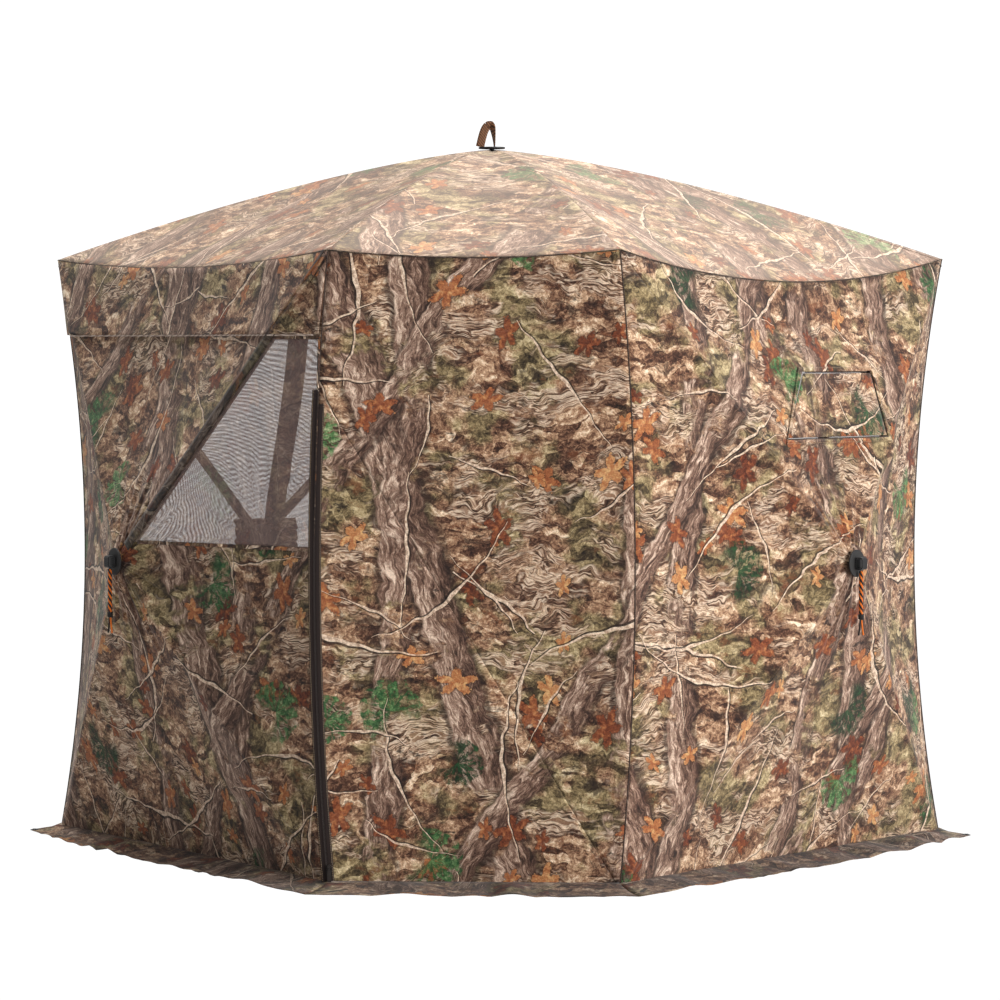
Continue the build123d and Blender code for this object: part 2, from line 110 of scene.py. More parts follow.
def seam_pull(key):
    pull = Vector()
    for wall, ends in WALLS.items():
        if key in ends:
            reach = hub_peak(wall) - CORNERS[key]
            pull += Vector((reach.x, reach.y, 0)).normalized()
    return pull.normalized() * (DOOR_SEAM_BOW if key in "bc" else SEAM_BOW)


def seam_at(key, height):
    share = height / CORNER_H
    return corner(key, height) + seam_pull(key) * (4 * share * (1 - share))


def eave_at(first, second, sag, share):
    return corner(first, CORNER_H).lerp(corner(second, CORNER_H), share) - UP * (sag * 4 * share * (1 - share))


def roof_spoke(key, share):
    """Point on a bowed roof spoke, from the hub at 0 to the eave corner at 1."""
    flat = Vector((0, PLAN_SHIFT, 0)).lerp(CORNERS[key], share)
    return flat + UP * (CORNER_H + ROOF_RISE * (1 - share**ROOF_POWER))


def ripple(point, size, seed):
    """Smooth random value from -1 to 1."""
    return noise.noise(point / size + Vector((seed, seed * 0.7, seed * 1.3)))


def spaced(count):
    """Even shares from 0 to 1, in count steps."""
    return [i / count for i in range(count + 1)]


def path_length(path):
    return sum((b - a).length for a, b in zip(path, path[1:]))


# ---- mesh helpers ----
def new_piece(name, mesh, material):
    piece = bpy.data.objects.new(name, mesh)
    bpy.context.scene.collection.objects.link(piece)
    mesh.materials.clear()
    mesh.materials.append(material)
    return piece


def finish_mesh(name, bm, material, thickness=0.0, face_out=None):
    """Mesh piece from bm. A sheet gets a thickness, inwards from its outer side."""
    bmesh.ops.remove_doubles(bm, verts=bm.verts, dist=1e-5)
    if face_out is not None and bm.faces:
        bm.normal_update()
        total = sum((f.normal * f.calc_area() for f in bm.faces), Vector())
        if total.dot(face_out) < 0:
            bmesh.ops.reverse_faces(bm, faces=bm.faces)
    mesh = bpy.data.meshes.new(name)
    bm.to_mesh(mesh)
    bm.free()
    piece = new_piece(name, mesh, material)
    if thickness:
        solid = piece.modifiers.new("thickness", "SOLIDIFY")
        solid.thickness = thickness
        solid.offset = -1
        solid.use_even_offset = False
        depsgraph = bpy.context.evaluated_depsgraph_get()
        full = bpy.data.meshes.new_from_object(piece.evaluated_get(depsgraph))
        piece.modifiers.clear()
        piece.data = full
    for face in piece.data.polygons:
        face.use_smooth = True
    return piece


def grid_faces(bm, rows, uv_rows):
    """Quads between rows of points, with a UV for each point in metres."""
    uv = bm.loops.layers.uv.get("UVMap") or bm.loops.layers.uv.new("UVMap")
    made = [[bm.verts.new(p) for p in row] for row in rows]
    for i in range(len(made) - 1):
        for j in range(len(made[i]) - 1):
            spots = [(i, j), (i + 1, j), (i + 1, j + 1), (i, j + 1)]
            verts, marks = [], []
            for a, b in spots:
                if made[a][b] not in verts:
                    verts.append(made[a][b])
                    marks.append(uv_rows[a][b])
            if len(verts) < 3:
                continue
            face = bm.faces.new(verts)
            for loop, mark in zip(face.loops, marks):
                loop[uv].uv = mark


def cloth_grid(first, second, point_at, mark_at):
    """bmesh of the points at every pair of shares. mark_at gives each point's UV in metres."""
    bm = bmesh.new()
    rows = [[point_at(a, b) for b in second] for a in first]
    marks = [[mark_at(p, a, b) for p, b in zip(row, second)] for row, a in zip(rows, first)]
    grid_faces(bm, rows, marks)
    return bm


def total_area(bm):
    return sum(f.calc_area() for f in bm.faces)


def ribbon(name, path, side_of, width, lift, material, thickness=0.0015, shares=(-0.5, -0.2, 0.2, 0.5)):
    """Flat strip along a path. side_of gives the strip's across direction at a point's index."""
    bm = bmesh.new()
    rows, marks, run = [], [], 0.0
    for i, point in enumerate(path):
        if i:
            run += (point - path[i - 1]).length
        across, out = side_of(i)
        rows.append([point + across * (width * s) + out * lift for s in shares])
        marks.append([(width * s, run) for s in shares])
    grid_faces(bm, rows, marks)
    return finish_mesh(name, bm, material, thickness, face_out=side_of(len(path) // 2)[1])


def tube(name, path, radius, material, sides=12):
    """Round tube through points, with its UV along and round it in metres."""
    bm = bmesh.new()
    rows, marks, run = [], [], 0.0
    spin = [2 * math.pi * k / sides for k in range(sides + 1)]
    for i, point in enumerate(path):
        before, after = path[max(i - 1, 0)], path[min(i + 1, len(path) - 1)]
        if i:
            run += (point - path[i - 1]).length
        heading = (after - before).normalized()
        one = heading.cross(UP if abs(heading.z) < 0.95 else ACROSS).normalized()
        two = heading.cross(one)
        rows.append([point + (one * math.cos(a) + two * math.sin(a)) * radius for a in spin])
        marks.append([(a * radius, run) for a in spin])
    grid_faces(bm, rows, marks)
    bmesh.ops.remove_doubles(bm, verts=bm.verts, dist=1e-6)
    bmesh.ops.holes_fill(bm, edges=[e for e in bm.edges if e.is_boundary])
    bmesh.ops.recalc_face_normals(bm, faces=bm.faces)
    return finish_mesh(name, bm, material)


def cut_outline(bm, axes, origin, outline):
    """Cuts bm along a convex outline given as (along, up) points, and returns the faces inside it."""
    along, out = axes
    for (u1, v1), (u2, v2) in zip(outline, outline[1:] + outline[:1]):
        run = along * (u2 - u1) + UP * (v2 - v1)
        bmesh.ops.bisect_plane(
            bm,
            geom=bm.verts[:] + bm.edges[:] + bm.faces[:],
            plane_co=origin + along * u1 + UP * v1,
            plane_no=run.cross(out),
        )
    inside = []
    for face in bm.faces:
        centre = face.calc_center_median() - origin
        u, v = centre.dot(along), centre.z
        signs = [
            (u2 - u1) * (v - v1) - (v2 - v1) * (u - u1)
            for (u1, v1), (u2, v2) in zip(outline, outline[1:] + outline[:1])
        ]
        if all(s >= 0 for s in signs):
            inside.append(face)
    return inside


def four_sided(low, high, ends, grow=0.0):
    """Outline as (along, up) points, wider or narrower by grow on every side."""
    (sill_from, sill_to), (head_from, head_to) = ends
    return [
        (sill_from - grow, low - grow),
        (sill_to + grow, low - grow),
        (head_to + grow, high + grow),
        (head_from - grow, high + grow),
    ]


def window_outline(grow=0.0):
    """Outline of the shooting window, wider or narrower by grow on every side."""
    return four_sided(WINDOW_LOW, WINDOW_HIGH, WINDOW_ENDS, grow)


# ---- shader helpers ----
def srgb(red, green, blue):
    return [((c / 255 + 0.055) / 1.055) ** 2.4 if c > 10 else c / 255 / 12.92 for c in (red, green, blue)] + [1.0]


class Value:
    """Output of a node. Arithmetic on it adds math nodes to the same tree."""

    def __init__(self, nodes, socket):
        self.nodes, self.socket = nodes, socket

    def __abs__(self):
        return self.nodes.math("ABSOLUTE", self)

    def __add__(self, other):
        return self.nodes.math("ADD", self, other)

    def __sub__(self, other):
        return self.nodes.math("SUBTRACT", self, other)

    def __mul__(self, other):
        return self.nodes.math("MULTIPLY", self, other)

    def __truediv__(self, other):
        return self.nodes.math("DIVIDE", self, other)

    def __pow__(self, other):
        return self.nodes.math("POWER", self, other)

    def __lt__(self, other):
        return self.nodes.math("LESS_THAN", self, other)

    def __gt__(self, other):
        return self.nodes.math("GREATER_THAN", self, other)


class Nodes:
    """Adds and links nodes in one tree. An input may be a Value, a socket, a number or a colour."""

    def __init__(self, tree):
        self.tree = tree

    def add(self, kind, inputs=None, **settings):
        node = self.tree.nodes.new(kind)
        for name, value in settings.items():
            setattr(node, name, value)
        for name, value in (inputs or {}).items():
            self.put(node.inputs[name], value)
        return node

    def make(self, kind, inputs=None, output=0, **settings):
        """Adds a node and gives one of its outputs."""
        return Value(self, self.add(kind, inputs, **settings).outputs[output])

    def put(self, socket, value):
        value = value.socket if isinstance(value, Value) else value
        if isinstance(value, bpy.types.NodeSocket):
            self.tree.links.new(value, socket)
        else:
            socket.default_value = value

    def math(self, operation, first, second=0.0, clamp=False):
        return self.make("ShaderNodeMath", {0: first, 1: second}, operation=operation, use_clamp=clamp)

    def vector(self, operation, first, second=(0, 0, 0)):
        output = "Value" if operation == "LENGTH" else "Vector"
        return self.make("ShaderNodeVectorMath", {0: first, 1: second}, output, operation=operation)

    def mix(self, factor, first, second, blend="MIX"):
        return self.make("ShaderNodeMix", {0: factor, 6: first, 7: second}, 2, data_type="RGBA", blend_type=blend)

    def noise(self, vector, scale, detail=4.0, rough=0.6, distort=0.0, output="Fac"):
        inputs = {"Vector": vector, "Scale": scale, "Detail": detail, "Roughness": rough, "Distortion": distort}
        return self.make("ShaderNodeTexNoise", inputs, output)

    def ramp(self, factor, *stops):
        """Colour ramp. Each stop is its place, then red, green and blue."""
        node = self.add("ShaderNodeValToRGB", {"Fac": factor})
        while len(node.color_ramp.elements) < len(stops):
            node.color_ramp.elements.new(1.0)
        for element, (place, *colour) in zip(node.color_ramp.elements, stops):
            element.position = place
            element.color = srgb(*colour)
        return Value(self, node.outputs["Color"])

    def step(self, value, low, high):
        """Smooth step from 0 at low to 1 at high."""
        return self.make("ShaderNodeMapRange", {0: value, 1: low, 2: high}, interpolation_type="SMOOTHSTEP")

    def stretch(self, vector, x, y, turn=0.0, shift=0.0):
        place = {"Vector": vector, "Scale": (x, y, 1), "Rotation": (0, 0, turn), "Location": (shift, shift, 0)}
        return self.make("ShaderNodeMapping", place)

    def split(self, vector):
        """The three parts of a vector."""
        return [Value(self, part) for part in self.add("ShaderNodeSeparateXYZ", {"Vector": vector}).outputs]

    def tones(self, colour):
        """The three parts of a colour."""
        return [Value(self, part) for part in self.add("ShaderNodeSeparateColor", {"Color": colour}).outputs]


def new_group(name, inputs, outputs):
    """Empty shader node group with named sockets. inputs and outputs are (name, type, default)."""
    group = bpy.data.node_groups.new(name, "ShaderNodeTree")
    for direction, sockets in (("INPUT", inputs), ("OUTPUT", outputs)):
        for label, kind, default in sockets:
            socket = group.interface.new_socket(label, in_out=direction, socket_type=f"NodeSocket{kind}")
            if default is not None:
                socket.default_value = default
    t = Nodes(group)
    given = t.add("NodeGroupInput").outputs
    return group, t, [Value(t, given[label]) for label, _, _ in inputs], t.add("NodeGroupOutput").inputs


def stamp_group():
    """Scattered shapes: each cell of the cloth gives a turned local frame, a random tone and a show switch."""
    inputs = [("Vector", "Vector", None), ("Cell", "Float", 0.3), ("Share", "Float", 0.6), ("Shift", "Float", 0.0)]
    outputs = [("Local", "Vector", None), ("Tone", "Float", None), ("Show", "Float", None)]
    group, t, (flat, cell, share, shift), out = new_group("scattered_stamps", inputs, outputs)
    spread = t.vector("ADD", flat, t.make("ShaderNodeCombineXYZ", {"X": shift}))
    pattern = {"Vector": spread, "Scale": t.math("DIVIDE", 1.0, cell), "Randomness": 0.75}
    cells = t.add("ShaderNodeTexVoronoi", pattern, voronoi_dimensions="2D").outputs
    turn, tone, chance = t.tones(cells["Color"])
    turned = {"Vector": t.vector("SUBTRACT", spread, cells["Position"]), "Angle": turn * (2 * math.pi)}
    t.put(out["Local"], t.make("ShaderNodeVectorRotate", turned, rotation_type="Z_AXIS"))
    t.put(out["Tone"], tone)
    t.put(out["Show"], chance < share)
    return group


STAMPS = stamp_group()


def place_stamps(t, vector, cell, share, shift):
    inputs = {"Vector": vector, "Cell": cell, "Share": share, "Shift": shift}
    node = t.add("ShaderNodeGroup", inputs, node_tree=STAMPS)
    return [Value(t, node.outputs[label]) for label in ("Local", "Tone", "Show")]


# Layers of the print. Each row: lean, shift, width and spacing of the trunks.
TRUNKS = (0.06, 0.0, 0.17, 0.56), (-0.30, 5.3, 0.12, 0.92), (0.58, 9.1, 0.07, 1.1)
# Each row: cell size, share of cells filled, shift and size, and for a twig its thickness.
LEAVES = (0.21, 0.34, 1.7, 0.056), (0.27, 0.40, 6.2, 0.066), (0.15, 0.26, 8.8, 0.036), (0.24, 0.3, 13.4, 0.05)
TUFTS = (0.40, 0.50, 2.9, 0.088), (0.33, 0.22, 11.4, 0.066)
TWIGS = (
    (0.62, 0.85, 4.1, 0.29, 0.0042),
    (0.46, 0.7, 7.3, 0.22, 0.0030),
    (0.30, 0.6, 12.7, 0.14, 0.0022),
    (0.5, 0.7, 15.9, 0.24, 0.0034),
)
PRINT_GAMMA, PRINT_GAIN = 1.22, 1.27


def woodland_group():
    """Generic woodland print: layered bark, leaf litter, trunks, twigs, dry leaves and green tufts."""
    outputs = [("Color", "Color", None), ("Height", "Float", None)]
    group, t, (flat,), out = new_group("woodland_print", [("Vector", "Vector", None)], outputs)
    wander = t.noise(flat, 3.4, 4, output="Color")
    bend = t.vector("MULTIPLY", t.vector("SUBTRACT", wander, (0.5, 0.5, 0.5)), (0.20, 0.20, 0))
    warped = t.vector("ADD", flat, bend)
    colour = litter_layer(t, flat, warped)
    colour = shelf_layer(t, colour, warped)
    colour = trunk_layer(t, colour, flat, bend)
    colour = leaf_layer(t, colour, flat)
    colour = tuft_layer(t, colour, flat)
    colour = twig_layer(t, colour, flat)
    grain = t.noise(flat, 210, 4, 0.8)
    speck = grain * 1.5 + 0.25
    speckle = t.make("ShaderNodeCombineColor", {0: speck, 1: speck, 2: speck})
    deeper = t.make("ShaderNodeGamma", {"Color": t.mix(1.0, colour, speckle, "MULTIPLY"), "Gamma": PRINT_GAMMA})
    t.put(out["Color"], t.mix(1.0, deeper, (PRINT_GAIN, PRINT_GAIN, PRINT_GAIN, 1.0), "MULTIPLY"))
    threads = {"Vector": flat, "Scale": 260, "Distortion": 1.5, "Detail": 1.0}
    t.put(out["Height"], t.make("ShaderNodeTexWave", threads, "Fac") * 0.4 + grain)
    return group


def litter_layer(t, flat, warped):
    """Leaf litter in browns and drab greens, streaked along the ground."""
    streaks = t.noise(t.stretch(warped, 10, 30), 1.0, 8, 0.74, 0.6)
    crumbs = t.noise(flat, 58, 5, 0.78, 1.1)
    cells = {"Vector": t.stretch(warped, 24, 46, 0.15), "Scale": 1.0, "Randomness": 1.0}
    shards = t.tones(t.make("ShaderNodeTexVoronoi", cells, "Color", voronoi_dimensions="2D"))[0]
    mottle = streaks * 0.42 + crumbs * 0.46 + shards * 0.12
    warm = t.ramp(mottle, (0.37, 40, 27, 23), (0.45, 96, 68, 55), (0.505, 150, 120, 100),
                  (0.56, 196, 170, 146), (0.63, 244, 232, 216))
    drab = t.ramp(mottle, (0.37, 42, 36, 28), (0.46, 102, 90, 68), (0.53, 156, 142, 112),
                  (0.60, 200, 188, 158), (0.68, 236, 228, 206))
    colour = t.mix(t.step(t.noise(flat, 5.3, 3), 0.48, 0.58), warm, drab)
    rust = t.step(t.noise(t.stretch(flat, 8, 13, 0.3, 3.1), 1.0, 5, 0.8), 0.56, 0.64)
    colour = t.mix(rust * 0.5, colour, srgb(132, 84, 56))
    shade = t.step(t.noise(t.stretch(warped, 7, 12, 0.4), 1.0, 6, 0.8), 0.53, 0.62)
    return t.mix(shade * 0.7, colour, srgb(46, 33, 31))


def shelf_layer(t, colour, warped):
    """Patches of layered bark: pale lens shapes with dark lines between them."""
    layers = t.noise(t.stretch(warped, 11, 58, 0.06, 2.7), 1.0, 3, 0.55, 0.9)
    shelf = t.ramp(abs(layers - 0.5), (0.004, 36, 25, 23), (0.022, 104, 78, 66), (0.05, 178, 154, 136),
                   (0.085, 236, 224, 210), (0.14, 150, 122, 104))
    where = t.step(t.noise(t.stretch(warped, 3.4, 6.5, 0.0, 9.3), 1.0, 4, 0.7), 0.51, 0.58)
    return t.mix(where * 0.75, colour, shelf)


def trunk_layer(t, colour, flat, bend):
    """Upright and leaning trunks, each with a lit side, a dark side and broken bark."""
    for lean, shift, wide, cell in TRUNKS:
        line = t.stretch(t.vector("ADD", flat, t.vector("MULTIPLY", bend, (0.8, 0, 0))), 1, 1, lean, shift)
        across = t.split(line)[0] / cell
        chance = t.make("ShaderNodeTexWhiteNoise", {"W": t.math("FLOOR", across)}, "Value", noise_dimensions="1D")
        side = (t.math("FRACT", across) - (chance * 0.4 + 0.3)) / (wide * 0.5)
        bark = t.noise(t.stretch(line, 74, 17), 1.0, 7, 0.8, 0.8)
        wood = t.ramp(bark + side * -0.06, (0.36, 52, 38, 35), (0.46, 110, 86, 76), (0.54, 164, 140, 128),
                      (0.64, 232, 216, 204))
        broken = t.step(t.noise(line, 3.1, 5, 0.75), 0.43, 0.50)
        reach = abs(side) + bark * 0.8
        colour = t.mix(t.step(reach, 1.75, 1.45) * broken * 0.65, colour, srgb(50, 37, 34))
        colour = t.mix(t.step(reach, 1.42, 1.30) * broken * 0.9, colour, wood)
    hollow = t.step(t.noise(t.stretch(flat, 5, 8, 0.2, 3.3), 1.0, 5, 0.8), 0.62, 0.68)
    return t.mix(hollow * 0.8, colour, srgb(34, 26, 25))


def leaf_layer(t, colour, flat):
    """Clusters of dry lobed leaves."""
    for cell, share, shift, size in LEAVES:
        local, tone, show = place_stamps(t, flat, cell, share, shift)
        long, narrow, _ = t.split(local)
        wide = narrow * 1.5
        crumple = t.noise(local, 62, 4, 0.7)
        lobes = abs(t.math("SINE", t.math("ARCTAN2", wide, long) * 2.5 + tone))
        limit = lobes * 0.58 + 0.30 + (crumple - 0.5) * 1.1
        gap = limit - t.math("SQRT", long**2 + wide**2) / size
        colour = t.mix(t.step(gap, -0.16, -0.02) * show * 0.55, colour, srgb(52, 32, 26))
        veins = abs(t.noise(local, 34, 2) - 0.5)
        light = crumple * 0.75 + tone * 0.28 + veins * 0.5
        leaf = t.ramp(light, (0.36, 84, 42, 30), (0.50, 142, 84, 56), (0.62, 184, 128, 88), (0.78, 220, 186, 140))
        colour = t.mix(t.step(gap, 0.0, 0.07) * show * 0.85, colour, leaf)
    return colour


def tuft_layer(t, colour, flat):
    """Green tufts of needles."""
    for cell, share, shift, size in TUFTS:
        local, tone, show = place_stamps(t, flat, cell, share, shift)
        x, y, _ = t.split(local)
        frayed = t.noise(local, 46, 4, 0.8)
        angle = t.math("ARCTAN2", y, x) + frayed * 0.9
        radius = t.vector("LENGTH", local) / size
        tip = t.noise(local, 21, 2) * 0.56 + 0.72 - radius
        polar = t.make("ShaderNodeCombineXYZ", {"X": angle * 5.5, "Y": radius * 2.4, "Z": tone})
        blade = t.step(t.noise(polar, 1.0, 3, 0.6, 0.3) + tip * 0.10, 0.50, 0.56)
        mask = t.step(abs(angle), 2.7, 1.7) * show * t.step(tip, 0.0, 0.08)
        colour = t.mix(mask * 0.35, colour, srgb(34, 42, 30))
        green = t.ramp(tone * 0.25 + frayed * 0.75, (0.36, 22, 50, 32), (0.5, 48, 98, 60), (0.6, 106, 146, 100),
                       (0.72, 196, 204, 172))
        colour = t.mix(blade * mask * 0.9, colour, green)
    return colour


def twig_layer(t, colour, flat):
    """Long light twigs: thin bent lines, tapering to their tips, each with a dark edge under it."""
    for cell, share, shift, size, thick in TWIGS:
        local, tone, show = place_stamps(t, flat, cell, share, shift)
        x, y, _ = t.split(local)
        wobble = (t.noise(local, 6, 2) - 0.5) * 0.07
        gap = y - x**2 * (tone * 3.0 - 1.5) + wobble
        taper = t.math("SUBTRACT", 1.0, abs(x) / size, clamp=True)
        half = (taper * 0.75 + 0.25) * thick
        inside = (taper > 0.01) * show
        under = (abs(gap + thick) < half) * inside
        mask = (abs(gap) < half) * inside
        bark = t.ramp(t.noise(local, 90, 3), (0.35, 168, 144, 128), (0.6, 236, 222, 208))
        colour = t.mix(under * 0.75, colour, srgb(44, 33, 30))
        colour = t.mix(mask * 0.9, colour, bark)
    return colour


WOODLAND = woodland_group()


def material(name, rough=0.8, **sockets):
    made = bpy.data.materials.new(name)
    made.use_nodes = True
    shader = made.node_tree.nodes["Principled BSDF"]
    shader.inputs["Roughness"].default_value = rough
    for label, value in sockets.items():
        shader.inputs[label.replace("_", " ")].default_value = value
    return made, Nodes(made.node_tree), shader


def bump(t, shader, height, strength, distance):
    settings = {"Height": height, "Strength": strength, "Distance": distance}
    t.put(shader.inputs["Normal"], t.make("ShaderNodeBump", settings))


def print_cloth(name, shift, lift=0.82, pale_sheen=0.0):
    """Brushed polyester with the woodland print on its UV map, in metres."""
    made, t, shader = material(name, 0.9, Sheen_Weight=0.12, Sheen_Roughness=0.6, Specular_IOR_Level=0.2)
    flat = t.make("ShaderNodeUVMap", uv_map="UVMap")
    placed = t.make("ShaderNodeMapping", {"Vector": flat, "Location": (shift, shift * 0.37, 0)})
    cloth = t.add("ShaderNodeGroup", {"Vector": placed}, node_tree=WOODLAND).outputs
    tint = t.mix(1.0, cloth["Color"], [lift, lift * 0.93, lift * 0.835, 1], "MULTIPLY")
    # Mixing towards a pale tan is painted sheen; only the roof uses it, where it also lowers the print's contrast.
    tint = t.mix(pale_sheen, tint, srgb(202, 180, 162))
    t.put(shader.inputs["Base Color"], tint)
    bump(t, shader, cloth["Height"], 0.25, 0.0006)
    return made, t, shader, placed, tint


def cloth_finish(name, shift, lift=0.82, pale_sheen=0.0):
    return print_cloth(name, shift, lift, pale_sheen)[0]


THREADS_PER_M, HOLE_HALF = 420, 0.378


def screen_finish():
    """Printed mesh: small holes on a square grid, and a washed-out print."""
    made, t, shader, placed, tint = print_cloth("printed_window_mesh", 3.4, 0.8)
    t.put(shader.inputs["Base Color"], t.mix(0.5, tint, srgb(196, 170, 164)))
    grid = t.split(t.vector("MULTIPLY", placed, (THREADS_PER_M, THREADS_PER_M, 0)))
    threads = [abs(t.math("FRACT", part) - 0.5) for part in grid[:2]]
    t.put(shader.inputs["Alpha"], t.math("MAXIMUM", *threads) > HOLE_HALF)
    return made


def woven_finish(name, dark, light, scale=700.0):
    """Webbing: narrow herringbone ribs across the strap, with uneven thread colour."""
    made, t, shader = material(name, 0.75, Sheen_Weight=0.1, Specular_IOR_Level=0.3)
    place = t.make("ShaderNodeTexCoord", output="Object")
    waves = {"Vector": place, "Scale": scale / 6, "Distortion": 2.0}
    ribs = t.make("ShaderNodeTexWave", waves, "Fac", bands_direction="DIAGONAL")
    mixed = ribs * 0.5 + t.noise(place, scale, 3) * 0.5
    t.put(shader.inputs["Base Color"], t.ramp(mixed, (0.3, *dark), (0.75, *light)))
    bump(t, shader, mixed, 0.5, 0.0006)
    return made


def moulded_finish(name, dark, light, rough, metal=0.0):
    """Moulded plastic or metal with a fine grain and paler worn edges."""
    made, t, shader = material(name, rough, Metallic=metal)
    place = t.make("ShaderNodeTexCoord", output="Object")
    worn = t.step(t.make("ShaderNodeNewGeometry", output="Pointiness"), 0.51, 0.56)
    fine = t.noise(place, 260, 4)
    wear = worn * 0.25 + t.noise(place, 24, 3) * 0.35
    t.put(shader.inputs["Base Color"], t.mix(wear, srgb(*dark), srgb(*light)))
    t.put(shader.inputs["Roughness"], fine * 0.2 + (rough - 0.1))
    bump(t, shader, fine, 0.2, 0.0003)
    return made


def pole_finish():
    """Pultruded glass fibre: long faint streaks along the pole."""
    made, t, shader = material("dark_glass_fibre", 0.4, Specular_IOR_Level=0.5)
    streaks = t.noise(t.stretch(t.make("ShaderNodeUVMap", uv_map="UVMap"), 900, 14), 1.0, 4)
    t.put(shader.inputs["Base Color"], t.ramp(streaks, (0.35, 18, 17, 18), (0.65, 48, 44, 42)))
    bump(t, shader, streaks, 0.2, 0.0002)
    return made


CLOTH = {
    "left": cloth_finish("left_wall_cloth", 0.35),
    "right": cloth_finish("right_wall_cloth", 2.15),
    "back_right": cloth_finish("back_right_wall_cloth", 5.6),
    "back_left": cloth_finish("back_left_wall_cloth", 8.2),
    # Painted sheen: the roof's cloth is multiplied lighter than the walls' and mixed towards pale tan, for the light
    # on its top.
    "roof": cloth_finish("roof_cloth_painted_sheen", 11.9, 1.0, 0.28),
    "door": cloth_finish("door_cloth", 14.3),
    # Painted shade: the skirt's cloth is multiplied much darker than the walls', for the shade at the foot of the
    # walls.
    "skirt": cloth_finish("skirt_cloth_painted_shade", 17.7, 0.46),
}
SCREEN_CLOTH = screen_finish()
# Sleeve cloth printed much darker than the walls': dark sleeves, darkened further as painted shade along the pole
# creases and inside the blind.
DARK_SLEEVE_AND_SHADE_CLOTH = cloth_finish("dark_sleeve_cloth_and_shade", 21.3, 0.22)
# The same dark tape binds the corner seams and paints the shade in the slit round the window's flap.
BINDING_AND_SLIT_SHADE = woven_finish("dark_binding_tape_and_slit_shade", (34, 24, 20), (74, 56, 46))
PIPING = woven_finish("light_hem_piping", (150, 126, 112), (214, 196, 182), 500)
BLACK_WEB = woven_finish("black_webbing", (12, 12, 13), (46, 44, 44))
BROWN_WEB = woven_finish("brown_webbing", (58, 34, 22), (138, 96, 66), 420)
ORANGE_CORD = woven_finish("orange_cord_sheath", (196, 78, 18), (240, 138, 44), 1500)
BLACK_CORD = woven_finish("black_cord_sheath", (10, 9, 9), (44, 40, 38), 1500)
ZIP_TAPE = woven_finish("zip_tape_weave", (16, 9, 8), (44, 27, 22), 900)
ZIP_COIL = moulded_finish("zip_coil_nylon", (14, 9, 8), (50, 34, 29), 0.5)
HUB_PLASTIC = moulded_finish("hub_moulding", (12, 11, 11), (44, 41, 40), 0.62)
STEEL = moulded_finish("zinc_plated_steel", (120, 122, 126), (196, 198, 202), 0.32, 1.0)
BRASS = moulded_finish("aged_brass", (96, 74, 38), (188, 156, 92), 0.38, 1.0)
SLIDER_METAL = moulded_finish("black_zip_metal", (14, 13, 13), (96, 88, 84), 0.35, 0.8)
THREAD = woven_finish("tan_thread", (112, 92, 72), (178, 154, 124), 2400)
POLE = pole_finish()


def attach(piece, body=None, node=None):
    """Says which body a piece rides, and hides the node that it stands for."""
    if body:
        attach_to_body(piece, body)
    if node:
        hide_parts(node)


def part_row_tree():
    """Geometry nodes: small blocks at an even pitch along a line, each lying along it."""
    tree = bpy.data.node_groups.new("row_of_small_parts", "GeometryNodeTree")
    ids = {}
    for label, kind in (("Geometry", "Geometry"), ("Pitch", "Float"), ("Size", "Vector"), ("Finish", "Material")):
        ids[label] = tree.interface.new_socket(label, in_out="INPUT", socket_type=f"NodeSocket{kind}").identifier
    tree.interface.new_socket("Geometry", in_out="OUTPUT", socket_type="NodeSocketGeometry")
    t = Nodes(tree)
    given, out = t.add("NodeGroupInput").outputs, t.add("NodeGroupOutput").inputs
    line = t.make("GeometryNodeMeshToCurve", {"Mesh": given["Geometry"]})
    dots = t.make("GeometryNodeResampleCurve", {"Curve": line, "Length": given["Pitch"]}, mode="LENGTH")
    lying = t.make("FunctionNodeAlignRotationToVector", {"Vector": t.make("GeometryNodeInputTangent")}, axis="X")
    block = t.make("GeometryNodeMeshCube", {"Size": given["Size"]})
    copies = t.make("GeometryNodeInstanceOnPoints", {"Points": dots, "Instance": block, "Rotation": lying})
    real = t.make("GeometryNodeRealizeInstances", {"Geometry": copies})
    t.put(out[0], t.make("GeometryNodeSetMaterial", {"Geometry": real, "Material": given["Finish"]}))
    return tree, ids


PART_ROW, PART_ROW_IDS = part_row_tree()


def row_of_parts(name, points, pitch, size, finish):
    """Mesh of small blocks along a line of points, made by the geometry node tree."""
    mesh = bpy.data.meshes.new(f"{name}_line")
    mesh.from_pydata(points, [(i, i + 1) for i in range(len(points) - 1)], [])
    holder = bpy.data.objects.new(f"{name}_line", mesh)
    bpy.context.scene.collection.objects.link(holder)
    nodes = holder.modifiers.new("row", "NODES")
    nodes.node_group = PART_ROW
    nodes[PART_ROW_IDS["Pitch"]] = pitch
    nodes[PART_ROW_IDS["Size"]] = size
    nodes[PART_ROW_IDS["Finish"]] = finish
    made = bpy.data.meshes.new_from_object(holder.evaluated_get(bpy.context.evaluated_depsgraph_get()))
    bpy.data.objects.remove(holder)
    return made


def stitch_row(name, points, body):
    """A row of thread stitches along a seam."""
    made = row_of_parts(name, points, 0.0062, (0.0042, 0.0009, 0.0009), THREAD)
    attach(new_piece(f"{name}_stitches", made, THREAD), body)


# ---- walls: four cloth faces round each hub ----
SIDES = ("upper", "second", "lower", "first")


def face_edges(wall):
    """The four edges of a wall as functions of a share from 0 to 1, with the middle of each edge's chord."""
    first, second = WALLS[wall]
    sag = EAVE_SAG[wall]
    mid = (CORNERS[first] + CORNERS[second]) / 2
    return {
        "upper": (lambda s: eave_at(first, second, sag, s), mid + UP * CORNER_H),
        "second": (lambda s: seam_at(second, CORNER_H * (1 - s)), corner(second, HUB_H)),
        "lower": (lambda s: corner(second).lerp(corner(first), s), mid),
        "first": (lambda s: seam_at(first, CORNER_H * s), corner(first, HUB_H)),
    }


def hub_flat(wall):
    """The hub's place in the wall's flat plane."""
    return hub_peak(wall) - wall_axes(wall)[1] * WALL_BULGE


